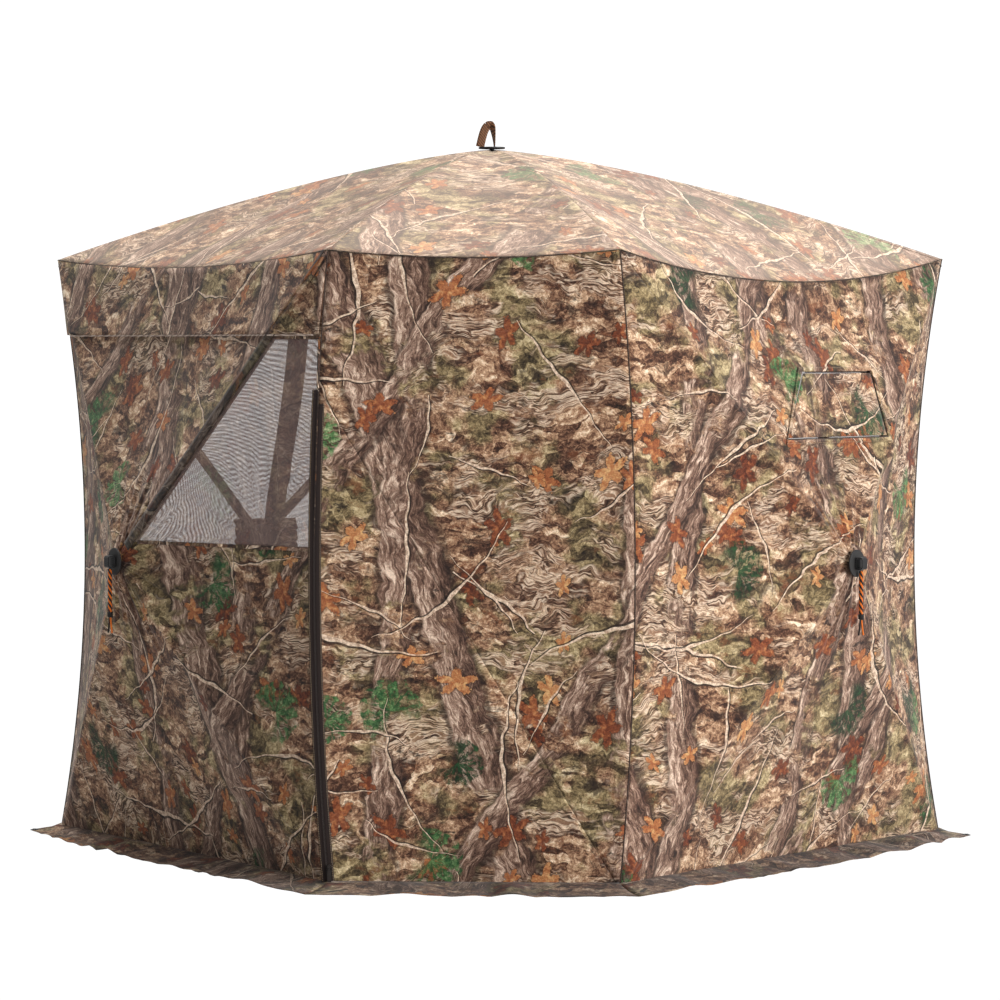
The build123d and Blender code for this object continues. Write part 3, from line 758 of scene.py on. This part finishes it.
def face_point(wall, side, s, r):
    """Point of a cloth face. s runs along its outer edge and r from the hub, 0, to the edge, 1."""
    seed = SIDES.index(side) + 3 * len(wall)
    peak, rim = hub_peak(wall), face_edges(wall)[side][0](s)
    out = wall_axes(wall)[1]
    point = peak.lerp(rim, r)
    span = math.sin(math.pi * s)
    slack = -0.016 * span * 4 * r * (1 - r)
    fan = math.sin(s * 47 + seed * 5) * 0.0035 + math.sin(s * 83 + seed * 3) * 0.0022
    near_hub = fan * math.exp(-((r - 0.16) ** 2) / 0.02) * span
    near_rim = math.sin(s * 61 + seed * 7) * 0.0032 * math.exp(-((1 - r) / 0.09) ** 2) * (1 - r) * 9
    broad = ripple(point, 0.34, seed) * 0.010 * 4 * r * (1 - r) * min(1, span * 2)
    fine = ripple(point, 0.09, seed + 4) * 0.0028 * 4 * r * (1 - r)
    point += out * (slack + near_hub + near_rim + broad + fine)
    return lay_under_window(point) if wall == "right" else point


def window_plane(u, v, lift=0.0):
    """Point of the flat plate that carries the shooting window."""
    along, out = wall_axes("right")
    share = (v - HUB_H) / (CORNER_H - EAVE_SAG["right"] - HUB_H)
    return hub_flat("right") + along * u + UP * (v - HUB_H) + out * (WALL_BULGE * (1 - share) + WINDOW_OUT + lift)


def lay_under_window(point):
    """Draws the right wall's cloth flat under the window's binding, fading out round it."""
    along, out = wall_axes("right")
    offset = point - hub_flat("right")
    u, v = offset.dot(along), point.z
    (sill_from, sill_to), (head_from, head_to) = WINDOW_ENDS
    share = min(max((v - WINDOW_LOW) / (WINDOW_HIGH - WINDOW_LOW), 0.0), 1.0)
    left = sill_from + (head_from - sill_from) * share
    right = sill_to + (head_to - sill_to) * share
    beyond = Vector((max(left - u, u - right, 0.0) / 0.09, max(WINDOW_LOW - v, v - WINDOW_HIGH, 0.0) / 0.11)).length
    near = max(0.0, 1.0 - max(0.0, beyond - 0.15))
    weight = near * near * (3 - 2 * near)
    depth = (window_plane(u, v, -0.0025) - point).dot(out)
    return point + out * (depth * weight)


FACE_STEPS, FACE_RINGS = 72, 48


def wall_marks(wall):
    """UV rule of a wall's cloth: metres along the wall from its middle, and height."""
    along, origin = wall_axes(wall)[0], hub_flat(wall)
    return lambda point, *_: ((point - origin).dot(along), point.z)


def wall_face(wall, side):
    """bmesh of one cloth face, with UVs in metres along and up the wall."""
    rings = [0.006 + 0.994 * r for r in spaced(FACE_RINGS)]
    return cloth_grid(rings, spaced(FACE_STEPS), lambda r, s: face_point(wall, side, s, r), wall_marks(wall))


def blend_between(piece, rim, flat):
    """Bakes a piece's placement into its mesh. The point between its outer edge and the hub is worked out, but
    nothing is bent.
    """
    rim.lerp(flat, BLEND_START)
    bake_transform(piece)
    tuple(flat)


def blend_face(piece, wall, side):
    blend_between(piece, face_edges(wall)[side][1], hub_flat(wall))


OPEN_SCREENS = {
    "left": ("second",),
    "back_left": ("upper", "first", "second"),
    "back_right": ("upper", "first", "second"),
}
STRIP = (-0.078, -0.008)  # the cloth strip down a back window, along its wall
VALANCE_LOW = 1.478
VALANCE_BAND = [(-0.9, VALANCE_LOW), (0.9, VALANCE_LOW), (0.9, 1.8), (-0.9, 1.8)]
LEAST_AREA = 0.3  # the smallest part of a cut's width times length that may be stated as its area


def separate(bm, faces):
    """Moves faces out of bm into a new bmesh."""
    apart = bm.copy()
    bm.faces.index_update()
    keep = {f.index for f in faces}
    apart.faces.ensure_lookup_table()
    bmesh.ops.delete(apart, geom=[f for f in apart.faces if f.index not in keep], context="FACES")
    bmesh.ops.delete(bm, geom=faces, context="FACES")
    return apart


def screen_outlines(wall, side):
    """The openings that a window's mesh fills in one face of a wall."""
    if side not in OPEN_SCREENS.get(wall, ()):
        return []
    if wall == "left":
        return [four_sided(SCREEN_LOW, SCREEN_HIGH, LEFT_SCREEN)]
    (sill_from, sill_to), (head_from, head_to) = BACK_SCREEN
    if side == "upper":
        halves = ((sill_from, STRIP[0]), (head_from, STRIP[0])), ((STRIP[1], sill_to), (STRIP[1], head_to))
        return [four_sided(SCREEN_LOW, SCREEN_HIGH, half) for half in halves]
    drops = (sill_from, -PATCH_HALF), (PATCH_HALF, sill_to)
    outlines = [four_sided(SCREEN_LOW, SCREEN_HIGH, BACK_SCREEN)]
    return outlines + [four_sided(SIDE_SILL, SCREEN_LOW, (drop, drop)) for drop in drops]


def build_wall(wall):
    axes, origin = wall_axes(wall), hub_flat(wall) - UP * HUB_H
    for side in SIDES:
        bm = wall_face(wall, side)
        screens = []
        for outline in screen_outlines(wall, side):
            inside = cut_outline(bm, axes, origin, outline)
            if inside:
                screens.append(separate(bm, inside))
        if wall == "right" and side == "upper":
            hole = cut_outline(bm, axes, origin, window_outline())
            bmesh.ops.delete(bm, geom=hole, context="FACES")
        flat = (1.60, 0.89) if side in ("upper", "lower") else (CORNER_H, 0.83)
        area = min(max(total_area(bm), LEAST_AREA * flat[0] * flat[1]), flat[0] * flat[1])
        piece = finish_mesh(f"{wall}_{side}_cloth", bm, CLOTH[wall], CLOTH_T, face_out=axes[1])
        attach(piece, node=f"{wall}_wall")
        blend_face(piece, wall, side)
        for k, screen in enumerate(screens):
            side_length = total_area(screen) ** 0.5
            panel = finish_mesh(f"{wall}_{side}_mesh_{k}", screen, SCREEN_CLOTH, SCREEN_T, face_out=axes[1])
            attach(panel, node="window_screens")
            blend_face(panel, wall, side)


def build_valance():
    """Band of cloth hanging over the top of the left wall's window, proud of the wall."""
    axes, origin = wall_axes("left"), hub_flat("left") - UP * HUB_H
    for side in ("upper", "second", "first"):
        bm = wall_face("left", side)
        band = separate(bm, cut_outline(bm, axes, origin, VALANCE_BAND))
        bm.free()
        for vert in band.verts:
            drop = CORNER_H - vert.co.z
            vert.co += axes[1] * (0.003 + 0.008 * min(drop / 0.2, 1.0))
        piece = finish_mesh(f"left_valance_{side}", band, CLOTH["left"], CLOTH_T, face_out=axes[1])
        attach(piece)
        blend_face(piece, "left", side)


# ---- poles and their sleeves ----
POLE_R, SLEEVE_W, NARROW_SLEEVE_W, ROOF_SEAM_W = 0.0055, 0.032, 0.018, 0.026


def build_poles(wall):
    out = wall_axes(wall)[1]
    first, second = WALLS[wall]
    flat, peak = hub_flat(wall), hub_peak(wall)
    targets = corner(first, CORNER_H), corner(second, CORNER_H), corner(second), corner(first)
    for number, target in enumerate(targets, 1):
        name = f"{wall}_pole_{number}"
        radial = (target - flat).normalized()
        start = peak + radial * 0.046 - out * 0.029
        stop = target - out * 0.014 - radial * 0.02
        rod = tube(f"{name}_rod", [start.lerp(stop, s) for s in spaced(40)], POLE_R, POLE)
        attach(rod, node=name)
        blend_between(rod, target, flat)
        path = [peak.lerp(target, 0.05 + 0.94 * s) for s in spaced(60)]
        across = out.cross(radial).normalized()
        # Sleeves that show take the dark cloth, partly as painted shade along their creases.
        shown_dark_as_shade = name == "left_pole_2" or wall.startswith("back") and number < 3
        lift = 0.0024 if name == "left_pole_2" else -0.006
        width = NARROW_SLEEVE_W if wall == "right" else SLEEVE_W
        finish = DARK_SLEEVE_AND_SHADE_CLOTH if shown_dark_as_shade else CLOTH[wall]
        sleeve = ribbon(f"{name}_sleeve", path, lambda i: (across, out), width, lift, finish)
        attach(sleeve)
        blend_between(sleeve, target, flat)
        path_length(path)


for wall_name in WALLS:
    build_wall(wall_name)
    build_poles(wall_name)
build_valance()


# ---- roof: five gores over bowed poles ----
ROOF_FLAT = Vector((0, PLAN_SHIFT, CORNER_H))  # the roof hub's place at eave height
def gore_point(first, second, sag, s, u, seed):
    """Point of a roof gore. s runs along the eave and u from the roof hub, 0, to the eave, 1."""
    point = roof_spoke(first, u).lerp(roof_spoke(second, u), s)
    span = math.sin(math.pi * s)
    point -= UP * (sag * 4 * s * (1 - s) * u**3)
    sink = -0.012 * span * 4 * u * (1 - u)
    broad = ripple(point, 0.3, seed) * 0.007 * span * min(1, 4 * (1 - u))
    puckers = math.sin(s * 70 + seed) * 0.002 * math.exp(-((1 - u) / 0.08) ** 2) * (1 - u) * 9
    return point + UP * (sink + broad + puckers + 0.0012)


def eave_foot(first, second):
    """Foot of the perpendicular from the roof hub's axis to an eave's chord, at eave height."""
    a, b = CORNERS[first], CORNERS[second]
    run = (b - a).normalized()
    return a + run * (ROOF_FLAT - a).dot(run) + UP * CORNER_H


def build_gore(k1, k2, seed):
    sag = EAVE_SAG[wall_between(k1, k2)]
    foot = eave_foot(k1, k2)
    chord = CORNERS[k2] - CORNERS[k1]
    run, base = chord.normalized(), chord.length
    inward = UP.cross(run)
    bm = cloth_grid(
        [0.008 + 0.992 * s for s in spaced(44)],
        spaced(60),
        lambda u, s: gore_point(k1, k2, sag, s, u, seed),
        lambda p, *_: ((p - foot).dot(run), -(p - foot).dot(inward) * 1.04),
    )
    area = total_area(bm)
    gore = finish_mesh(f"roof_gore_{k1}{k2}", bm, CLOTH["roof"], CLOTH_T, face_out=UP)
    attach(gore, node="roof")
    2 * area / base
    blend_between(gore, foot, ROOF_FLAT)


def build_roof_pole(key):
    rim = corner(key, CORNER_H)
    across = UP.cross((rim - ROOF_FLAT).normalized())
    path = [roof_spoke(key, 0.05 + 0.93 * s) - UP * 0.014 for s in spaced(50)]
    rod = tube(f"roof_pole_{key}_rod", path, POLE_R, POLE)
    attach(rod, node=f"roof_pole_{key}")
    blend_between(rod, rim, ROOF_FLAT)
    path = [roof_spoke(key, 0.04 + 0.955 * s) for s in spaced(60)]
    sleeve = ribbon(f"roof_seam_{key}", path, lambda i: (across, UP), ROOF_SEAM_W, -0.005, CLOTH["roof"])
    attach(sleeve)
    blend_between(sleeve, rim, ROOF_FLAT)
    path_length(path)


for number, (k1, k2) in enumerate(SIDES_OF_RING):
    build_gore(k1, k2, number * 3.1)
for key in RING:
    build_roof_pole(key)


# ---- seams, eave piping, hems ----
SEAM_R, PIPING_R, SEAM_FOOT = 0.0017, 0.0019, 0.004


def outward_at(key):
    i = RING.index(key)
    before, after = CORNERS[RING[i - 1]], CORNERS[RING[(i + 1) % 5]]
    here = CORNERS[key]
    return ((here - before).normalized() + (here - after).normalized()).normalized()


def outward_of(k1, k2):
    run = CORNERS[k2] - CORNERS[k1]
    return Vector((run.y, -run.x, 0)).normalized()


for key in RING:
    lift = outward_at(key) * 0.001
    path = [seam_at(key, SEAM_FOOT + (CORNER_H - SEAM_FOOT) * s) + lift for s in spaced(60)]
    attach(tube(f"corner_seam_{key}", path, SEAM_R, BINDING_AND_SLIT_SHADE, 8), "shell")
for k1, k2 in SIDES_OF_RING:
    lift = outward_of(k1, k2) * 0.002
    path = [eave_at(k1, k2, EAVE_SAG[wall_between(k1, k2)], s) + lift for s in spaced(50)]
    attach(tube(f"eave_piping_{k1}{k2}", path, PIPING_R, DARK_SLEEVE_AND_SHADE_CLOTH, 8), "shell")


def surface_at(wall, along_at, height, lift=0.0):
    """Point on a wall's cloth at a place along it and a height, found face by face."""
    along, out = wall_axes(wall)
    flat = hub_flat(wall)
    target = Vector((along_at, height - HUB_H))
    best = None
    for side, (edge, _) in face_edges(wall).items():
        rims = [edge(j / FACE_STEPS) - flat for j in range(FACE_STEPS + 1)]
        rims = [Vector((rim.dot(along), rim.z)) for rim in rims]
        for j, (one, two) in enumerate(zip(rims, rims[1:])):
            det = one.x * two.y - one.y * two.x
            if abs(det) < 1e-9:
                continue
            p = (target.x * two.y - target.y * two.x) / det
            q = (one.x * target.y - one.y * target.x) / det
            if p >= -1e-6 and q >= -1e-6:
                best = (side, (j + q / max(p + q, 1e-9)) / FACE_STEPS, p + q)
    side, s, r = best
    return face_point(wall, side, s, min(r, 1.0)) + out * lift, side


def strip_on_wall(wall, name, spots, width, finish, lift=0.003):
    """Strip lying on a wall's cloth through (along, height) spots, split where it crosses from face to face."""
    out = wall_axes(wall)[1]
    pieces, current, last = [], [], None
    for u, v in spots:
        point, side = surface_at(wall, u, v, lift)
        if last is not None and side != last:
            pieces.append((last, current + [point]))
            current = []
        current.append(point)
        last = side
    pieces.append((last, current))
    for k, (side, path) in enumerate(pieces):
        if len(path) < 2:
            continue
        across = out.cross((path[-1] - path[0]).normalized()).normalized()
        piece = ribbon(f"{name}_{k}", path, lambda i: (across, out), width, 0, finish)
        attach(piece)
        blend_face(piece, wall, side)


def line_between(start, stop, count):
    (u1, v1), (u2, v2) = start, stop
    return [(u1 + (u2 - u1) * s, v1 + (v2 - v1) * s) for s in spaced(count)]


HEM_W, TAPE_W = 0.009, 0.010
hem = line_between((-0.725, VALANCE_LOW), (0.745, VALANCE_LOW), 70)
strip_on_wall("left", "left_valance_hem", hem, HEM_W, PIPING, lift=0.005)
for screened, ends in (("left", LEFT_SCREEN), ("back_left", BACK_SCREEN), ("back_right", BACK_SCREEN)):
    (sill_from, sill_to), (head_from, head_to) = ends
    if screened == "left":
        sill_from, head_from = 0.08, 0.60
    sides = {
        "sill": ((sill_from, SCREEN_LOW), (sill_to, SCREEN_LOW)),
        "head": ((head_from, SCREEN_HIGH), (head_to, SCREEN_HIGH)),
        "far_jamb": ((sill_to, SCREEN_LOW), (head_to, SCREEN_HIGH)),
    }
    if screened != "left":
        sides["near_jamb"] = ((sill_from, SCREEN_LOW), (head_from, SCREEN_HIGH))
        sides["sill"] = ((-PATCH_HALF, SCREEN_LOW), (PATCH_HALF, SCREEN_LOW))
        sides["near_sill"] = ((sill_from, SIDE_SILL), (-PATCH_HALF, SIDE_SILL))
        sides["far_sill"] = ((PATCH_HALF, SIDE_SILL), (sill_to, SIDE_SILL))
    for place, (start, stop) in sides.items():
        name = f"{screened}_{place}_tape"
        strip_on_wall(screened, name, line_between(start, stop, 60), TAPE_W, CLOTH[screened])


# ---- shooting window in the right wall ----
def window_piece(node, outline, hole, lift):
    """Cloth plate over the right wall's window opening, on its own body, just off the wall's cloth."""
    axes = wall_axes("right")
    (x1, low), (x2, _), (x3, high), (x4, _) = outline

    def point_at(rise, share):
        start, stop = x1 + (x4 - x1) * rise, x2 + (x3 - x2) * rise
        return window_plane(start + (stop - start) * share, low + (high - low) * rise, lift)

    bm = cloth_grid(spaced(16), spaced(28), point_at, wall_marks("right"))
    if hole:
        inside = cut_outline(bm, axes, hub_flat("right") - UP * HUB_H, hole)
        bmesh.ops.delete(bm, geom=inside, context="FACES")
    piece = finish_mesh(f"{node}_cloth", bm, CLOTH["right"], 0.0014, face_out=axes[1])
    attach(piece, node, node)


def window_edge(outline, width, lift, sides, margin=0.0):
    """Dark binding tape along some sides of the shooting window, stopping short of their ends by a share. It lies
    behind and across the gap round the flap as painted shade in the slit.
    """
    out = wall_axes("right")[1]
    for k in sides:
        (u1, v1), (u2, v2) = outline[k], outline[(k + 1) % 4]
        shares = [margin + (1 - 2 * margin) * s for s in spaced(30)]
        path = [window_plane(u1 + (u2 - u1) * s, v1 + (v2 - v1) * s, lift) for s in shares]
        across = out.cross((path[-1] - path[0]).normalized())
        piece = ribbon(f"window_slit_painted_shade_{k}", path, lambda i: (across, out), width, 0, BINDING_AND_SLIT_SHADE)
        attach(piece, "window_binding")


opening, rim = window_outline(), window_outline(0.013)
window_piece("window_binding", rim, opening, 0.002)
window_piece("window_flap", window_outline(-0.0055), None, 0.0)
# Painted shade: dark strips behind and across the gap round the flap stand in for the shadow in the slit.
window_edge(opening, 0.008, -0.0022, (1, 2, 3), 0.06)
window_edge(opening, 0.006, 0.0012, (0,))


# ---- door: fixed panel, folding flap and zip ----
ZIP_TAPE_W, ZIP_TAPE_OFF, ZIP_TAPE_LIFT = 0.0168, 0.0085, 0.0035
ZIP_STITCH_OFF, ZIP_COIL_LIFT, ZIP_PITCH = 0.0145, 0.0062, 0.0034


def door_point(rise, share):
    """Point of the door's cloth, at a share of the way up it and across it."""
    top = eave_at("b", "c", EAVE_SAG["door"], share).z
    z = DOOR_FOOT + (top - DOOR_FOOT) * rise
    point = seam_at("b", z).lerp(seam_at("c", z), share)
    swell = ripple(point, 0.42, 2.5) * 0.010 + math.sin(share * 19 + z * 1.7) * 0.0016
    point.y += swell * math.sin(math.pi * share) - 0.0015
    return point


def door_sheet(name, body, node):
    """The door's cloth on one side of the line that the flap folds along."""
    bm = cloth_grid(spaced(90), spaced(50), door_point, lambda p, *_: (p.x, p.z))
    top = seam_at("b", ZIP_TOP)
    across = (corner("c", DOOR_FOOT) - top).normalized().cross(FRONT)
    geometry = bm.verts[:] + bm.edges[:] + bm.faces[:]
    bmesh.ops.bisect_plane(bm, geom=geometry, plane_co=top, plane_no=across)
    keep = (across.z > 0) == (body == "shell")
    gone = [f for f in bm.faces if ((f.calc_center_median() - top).dot(across) > 0) != keep]
    bmesh.ops.delete(bm, geom=gone, context="FACES")
    area = total_area(bm)
    piece = finish_mesh(name, bm, CLOTH["door"], CLOTH_T, face_out=FRONT)
    attach(piece, body, node)


door_sheet("door_panel_cloth", "shell", "door_panel")
door_sheet("door_flap_cloth", "door_flap", "door_flap")

zip_path = [seam_at("b", DOOR_FOOT + (ZIP_TOP - DOOR_FOOT) * s) for s in spaced(70)]
# The moving half stops short of the zip's top, where it would turn into the wall as the flap folds.
ZIP_HALVES = (("fixed", -1, "shell", zip_path), ("moving", 1, "door_flap", zip_path[:-2]))
for label, sign, body, line in ZIP_HALVES:
    path = [p + ACROSS * (sign * ZIP_TAPE_OFF) for p in line]
    tape = ribbon(f"zip_tape_{label}_half", path, lambda i: (ACROSS, FRONT), ZIP_TAPE_W, ZIP_TAPE_LIFT, ZIP_TAPE)
    attach(tape, body, "zip_tape" if body == "shell" else None)
teeth_path = [p + FRONT * ZIP_COIL_LIFT for p in zip_path]
teeth = row_of_parts("zip_coil", teeth_path, ZIP_PITCH, (0.0018, 0.0016, 0.0058), ZIP_COIL)
attach(new_piece("zip_coil", teeth, ZIP_COIL), "shell")
for label, sign, body, line in ZIP_HALVES:
    points = [p + ACROSS * (sign * ZIP_STITCH_OFF) + FRONT * 0.0037 for p in line]
    stitch_row(f"zip_{label}", points, body)
WINDOW_MIDDLE = (0.08, 1.283)
for k, (start, stop) in enumerate(zip(rim, rim[1:] + rim[:1])):
    points = []
    for u, v in line_between(start, stop, 30):
        points.append(window_plane(u + (WINDOW_MIDDLE[0] - u) * 0.012, v + (WINDOW_MIDDLE[1] - v) * 0.03, 0.0022))
    stitch_row(f"window_{k}", points, "window_binding")

# ---- ground skirt ----
SKIRT_W, SKIRT_CORNER = 0.130, 0.095
SKIRT_LIFT, SKIRT_CLEAR, SKIRT_WAVE = 0.022, 0.006, 0.028


def skirt_strip(k1, k2, number):
    """One side of the skirt: a strip of cloth lying out from the foot of a wall, raised in soft waves."""
    a, b = CORNERS[k1], CORNERS[k2]
    run, out = b - a, outward_of(k1, k2)
    tips = [CORNERS[key] + outward_at(key) * (SKIRT_CORNER if key in "ade" else SKIRT_W * 0.9) for key in (k1, k2)]

    def point_at(s, w):
        near_end = min(s, 1 - s)
        inner = a.lerp(b, s) + out * 0.002
        outer = tips[0].lerp(tips[1], s).lerp(a.lerp(b, s) + out * SKIRT_W, min(1.0, 4 * near_end) ** 0.8)
        point = inner.lerp(outer, w)
        wave = abs(ripple(Vector((s * run.length, number, 0)), 0.11, number)) * SKIRT_WAVE
        wave *= math.sin(math.pi * min(w * 1.25, 1) * 0.8) * min(1.0, 10 * near_end)
        point.z = max(0.004, SKIRT_LIFT * (1 - w) ** 2 + SKIRT_CLEAR + wave)
        return point

    bm = cloth_grid(spaced(72), spaced(12), point_at, lambda p, s, w: (s * run.length, -w * SKIRT_W))
    area = total_area(bm)
    piece = finish_mesh(f"skirt_{k1}{k2}", bm, CLOTH["skirt"], CLOTH_T, face_out=UP)
    attach(piece, "shell", "ground_skirt")


for number, (k1, k2) in enumerate(SIDES_OF_RING):
    skirt_strip(k1, k2, number + 0.5)
for key in RING:
    out = outward_at(key)
    path = [CORNERS[key] + out * (0.035 + 0.055 * s) + UP * 0.0075 for s in spaced(8)]
    tab = ribbon(f"stake_tab_{key}", path, lambda i: (UP.cross(out), UP), 0.030, 0.0, BLACK_WEB, 0.002)
    attach(tab, "shell")


# ---- carrying strap on the roof hub: a webbing loop with a broad twisted leg and a narrow one ----
STRAP_STEPS, STRAP_W, STRAP_HALF, STRAP_RISE = 40, 0.024, 0.020, 0.062


def build_strap():
    base = APEX + Vector((-0.012, -0.014, 0.0085))
    sides = [2 * s - 1 for s in spaced(STRAP_STEPS)]
    path, across = [], []
    for side in sides:
        lean = 0.016 * (1 - abs(side)) ** 0.8
        rise = STRAP_RISE * (1 - abs(side) ** 2.6)
        path.append(base + Vector((side * STRAP_HALF + lean * 0.55 - 0.001, 0.004 * side, rise)))
    for i, side in enumerate(sides):
        heading = (path[min(i + 1, STRAP_STEPS)] - path[max(i - 1, 0)]).normalized()
        flat = ACROSS if abs(heading.z) > 0.6 else UP
        turned = (flat - heading * flat.dot(heading)).normalized()
        turned.rotate(Matrix.Rotation(math.radians(8 + 74 * max(0.0, side)), 3, heading))
        across.append(turned)
    shares = (-0.5, -0.25, 0, 0.25, 0.5)
    piece = ribbon("roof_strap_webbing", path, lambda i: (across[i], Vector()), STRAP_W, 0, BROWN_WEB, 0.002, shares)
    attach(piece, "roof_hub", "roof_strap")


build_strap()


# ---- rope pulls at the wall hubs ----
PULL_LENGTH, TAIL_LENGTH = 0.118, 0.045
STRANDS, STRAND_R, STRAND_OFF, STRAND_TURNS = 4, 0.0028, 0.0033, 3.2
KNOT_CORD_R, KNOT_R, KNOT_H, KNOT_TURNS = 0.003, 0.0055, 0.012, 3
TAIL_R, TAIL_SPREAD = 0.0025, 0.009


def coil(turns, radius):
    """Sideways offset on a coil after a number of turns."""
    return Vector((math.cos(2 * math.pi * turns), math.sin(2 * math.pi * turns), 0)) * radius


def build_pull(wall):
    """Four strands, black and orange in turn, laid round each other, with an end knot and two tails."""
    body, along = f"{wall}_hub", wall_axes(wall)[0]
    low, high = (Vector(end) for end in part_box(f"{wall}_pull_cord"))
    top = Vector(((low.x + high.x) / 2, (low.y + high.y) / 2, high.z))
    line = [top - UP * (PULL_LENGTH * s) for s in spaced(60)]
    strands = []
    for k in range(STRANDS):
        path = [p + coil(STRAND_TURNS * s + k / STRANDS, STRAND_OFF) for p, s in zip(line, spaced(60))]
        strands.append(tube(f"{wall}_pull_strand_{k}", path, STRAND_R, (BLACK_CORD, ORANGE_CORD)[k % 2], 8))
    path = [top - UP * (PULL_LENGTH + 0.002 + KNOT_H * s) + coil(KNOT_TURNS * s, KNOT_R) for s in spaced(48)]
    knot = tube(f"{wall}_pull_knot", path, KNOT_CORD_R, BLACK_CORD, 8)
    for piece in [*strands[1:], knot]:
        attach(piece, body)
    attach(strands[0], body, f"{wall}_pull_cord")
    for k, sign in enumerate((-1, 1)):
        start = top - UP * (PULL_LENGTH + 0.014) + along * (0.003 * sign)
        path = [start - UP * (TAIL_LENGTH * s) + along * (sign * TAIL_SPREAD * s**1.5) for s in spaced(12)]
        tail = tube(f"{wall}_pull_tail_{k}", path, TAIL_R, (BLACK_CORD, ORANGE_CORD)[k], 8)
        attach(tail, body)


for wall_name in WALLS:
    build_pull(wall_name)

# ---- finishes of the frame's own hardware, by how a node's name ends ----
HARDWARE = {
    "_hub": HUB_PLASTIC,
    "_hub_cap": HUB_PLASTIC,
    "_hub_pins": STEEL,
    "_pull_strap": BLACK_WEB,
    "roof_strap": BROWN_WEB,
    "pole_pockets": BLACK_WEB,
    "stake_eyelets": BRASS,
    "zip_slider": SLIDER_METAL,
}
for node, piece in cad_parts.items():
    for ending, finish in HARDWARE.items():
        if node.endswith(ending):
            piece.data.materials.clear()
            piece.data.materials.append(finish)

# ---- floor, light and camera ----
floor_material, floor_nodes, floor_shader = material("studio_floor", 0.9)
floor_shader.inputs["Base Color"].default_value = (0.45, 0.45, 0.45, 1)
glow = floor_nodes.add("ShaderNodeEmission", {"Color": (1, 1, 1, 1), "Strength": 1.05})
seen = floor_nodes.add("ShaderNodeLightPath").outputs["Is Camera Ray"]
both = floor_nodes.add("ShaderNodeMixShader", {0: seen})
floor_nodes.put(both.inputs[1], floor_shader.outputs[0])
floor_nodes.put(both.inputs[2], glow.outputs[0])
floor_nodes.put(floor_material.node_tree.nodes["Material Output"].inputs["Surface"], both.outputs[0])
FLOOR_HALF, FLOOR_Z = 30, -0.001
floor_corners = [(x * FLOOR_HALF, y * FLOOR_HALF, FLOOR_Z) for x, y in ((-1, -1), (1, -1), (1, 1), (-1, 1))]
floor_mesh = bpy.data.meshes.new("studio_floor")
floor_mesh.from_pydata(floor_corners, [], [(0, 1, 2, 3)])
floor = new_piece("studio_floor", floor_mesh, floor_material)

world = bpy.data.worlds.new("studio")
bpy.context.scene.world = world
world.use_nodes = True
sky = Nodes(world.node_tree)
background = world.node_tree.nodes["Background"]
background.inputs["Color"].default_value = (1, 1, 1, 1)
seen = sky.make("ShaderNodeLightPath", output="Is Camera Ray")
sky.put(background.inputs["Strength"], seen * 0.8 + 0.3)


def sun(name, place, energy, spread):
    """Soft sunlight shining from a place towards the origin."""
    data = bpy.data.lights.new(name, "SUN")
    data.energy, data.angle = energy, spread
    made = bpy.data.objects.new(name, data)
    bpy.context.scene.collection.objects.link(made)
    made.location = place
    made.rotation_euler = (-Vector(place)).to_track_quat("-Z", "Y").to_euler()


sun("top_light", (-0.1, 0.26, 1.0), 3.7, 0.7)
sun("right_light", (1.0, -0.56, 0.12), 4.8, 0.6)

camera_data = bpy.data.cameras.new("camera")
camera_data.sensor_width = 36
camera_data.lens = 150.2
camera_data.clip_end = 100
camera = bpy.data.objects.new("camera", camera_data)
bpy.context.scene.collection.objects.link(camera)
camera.location = (0.599, -11.945 + PLAN_SHIFT, 1.45)
camera.rotation_euler = Vector((-0.0481, 0.9982, -0.0372)).to_track_quat("-Z", "Y").to_euler()
bpy.context.scene.camera = camera
bpy.context.scene.view_settings.view_transform = "Standard"
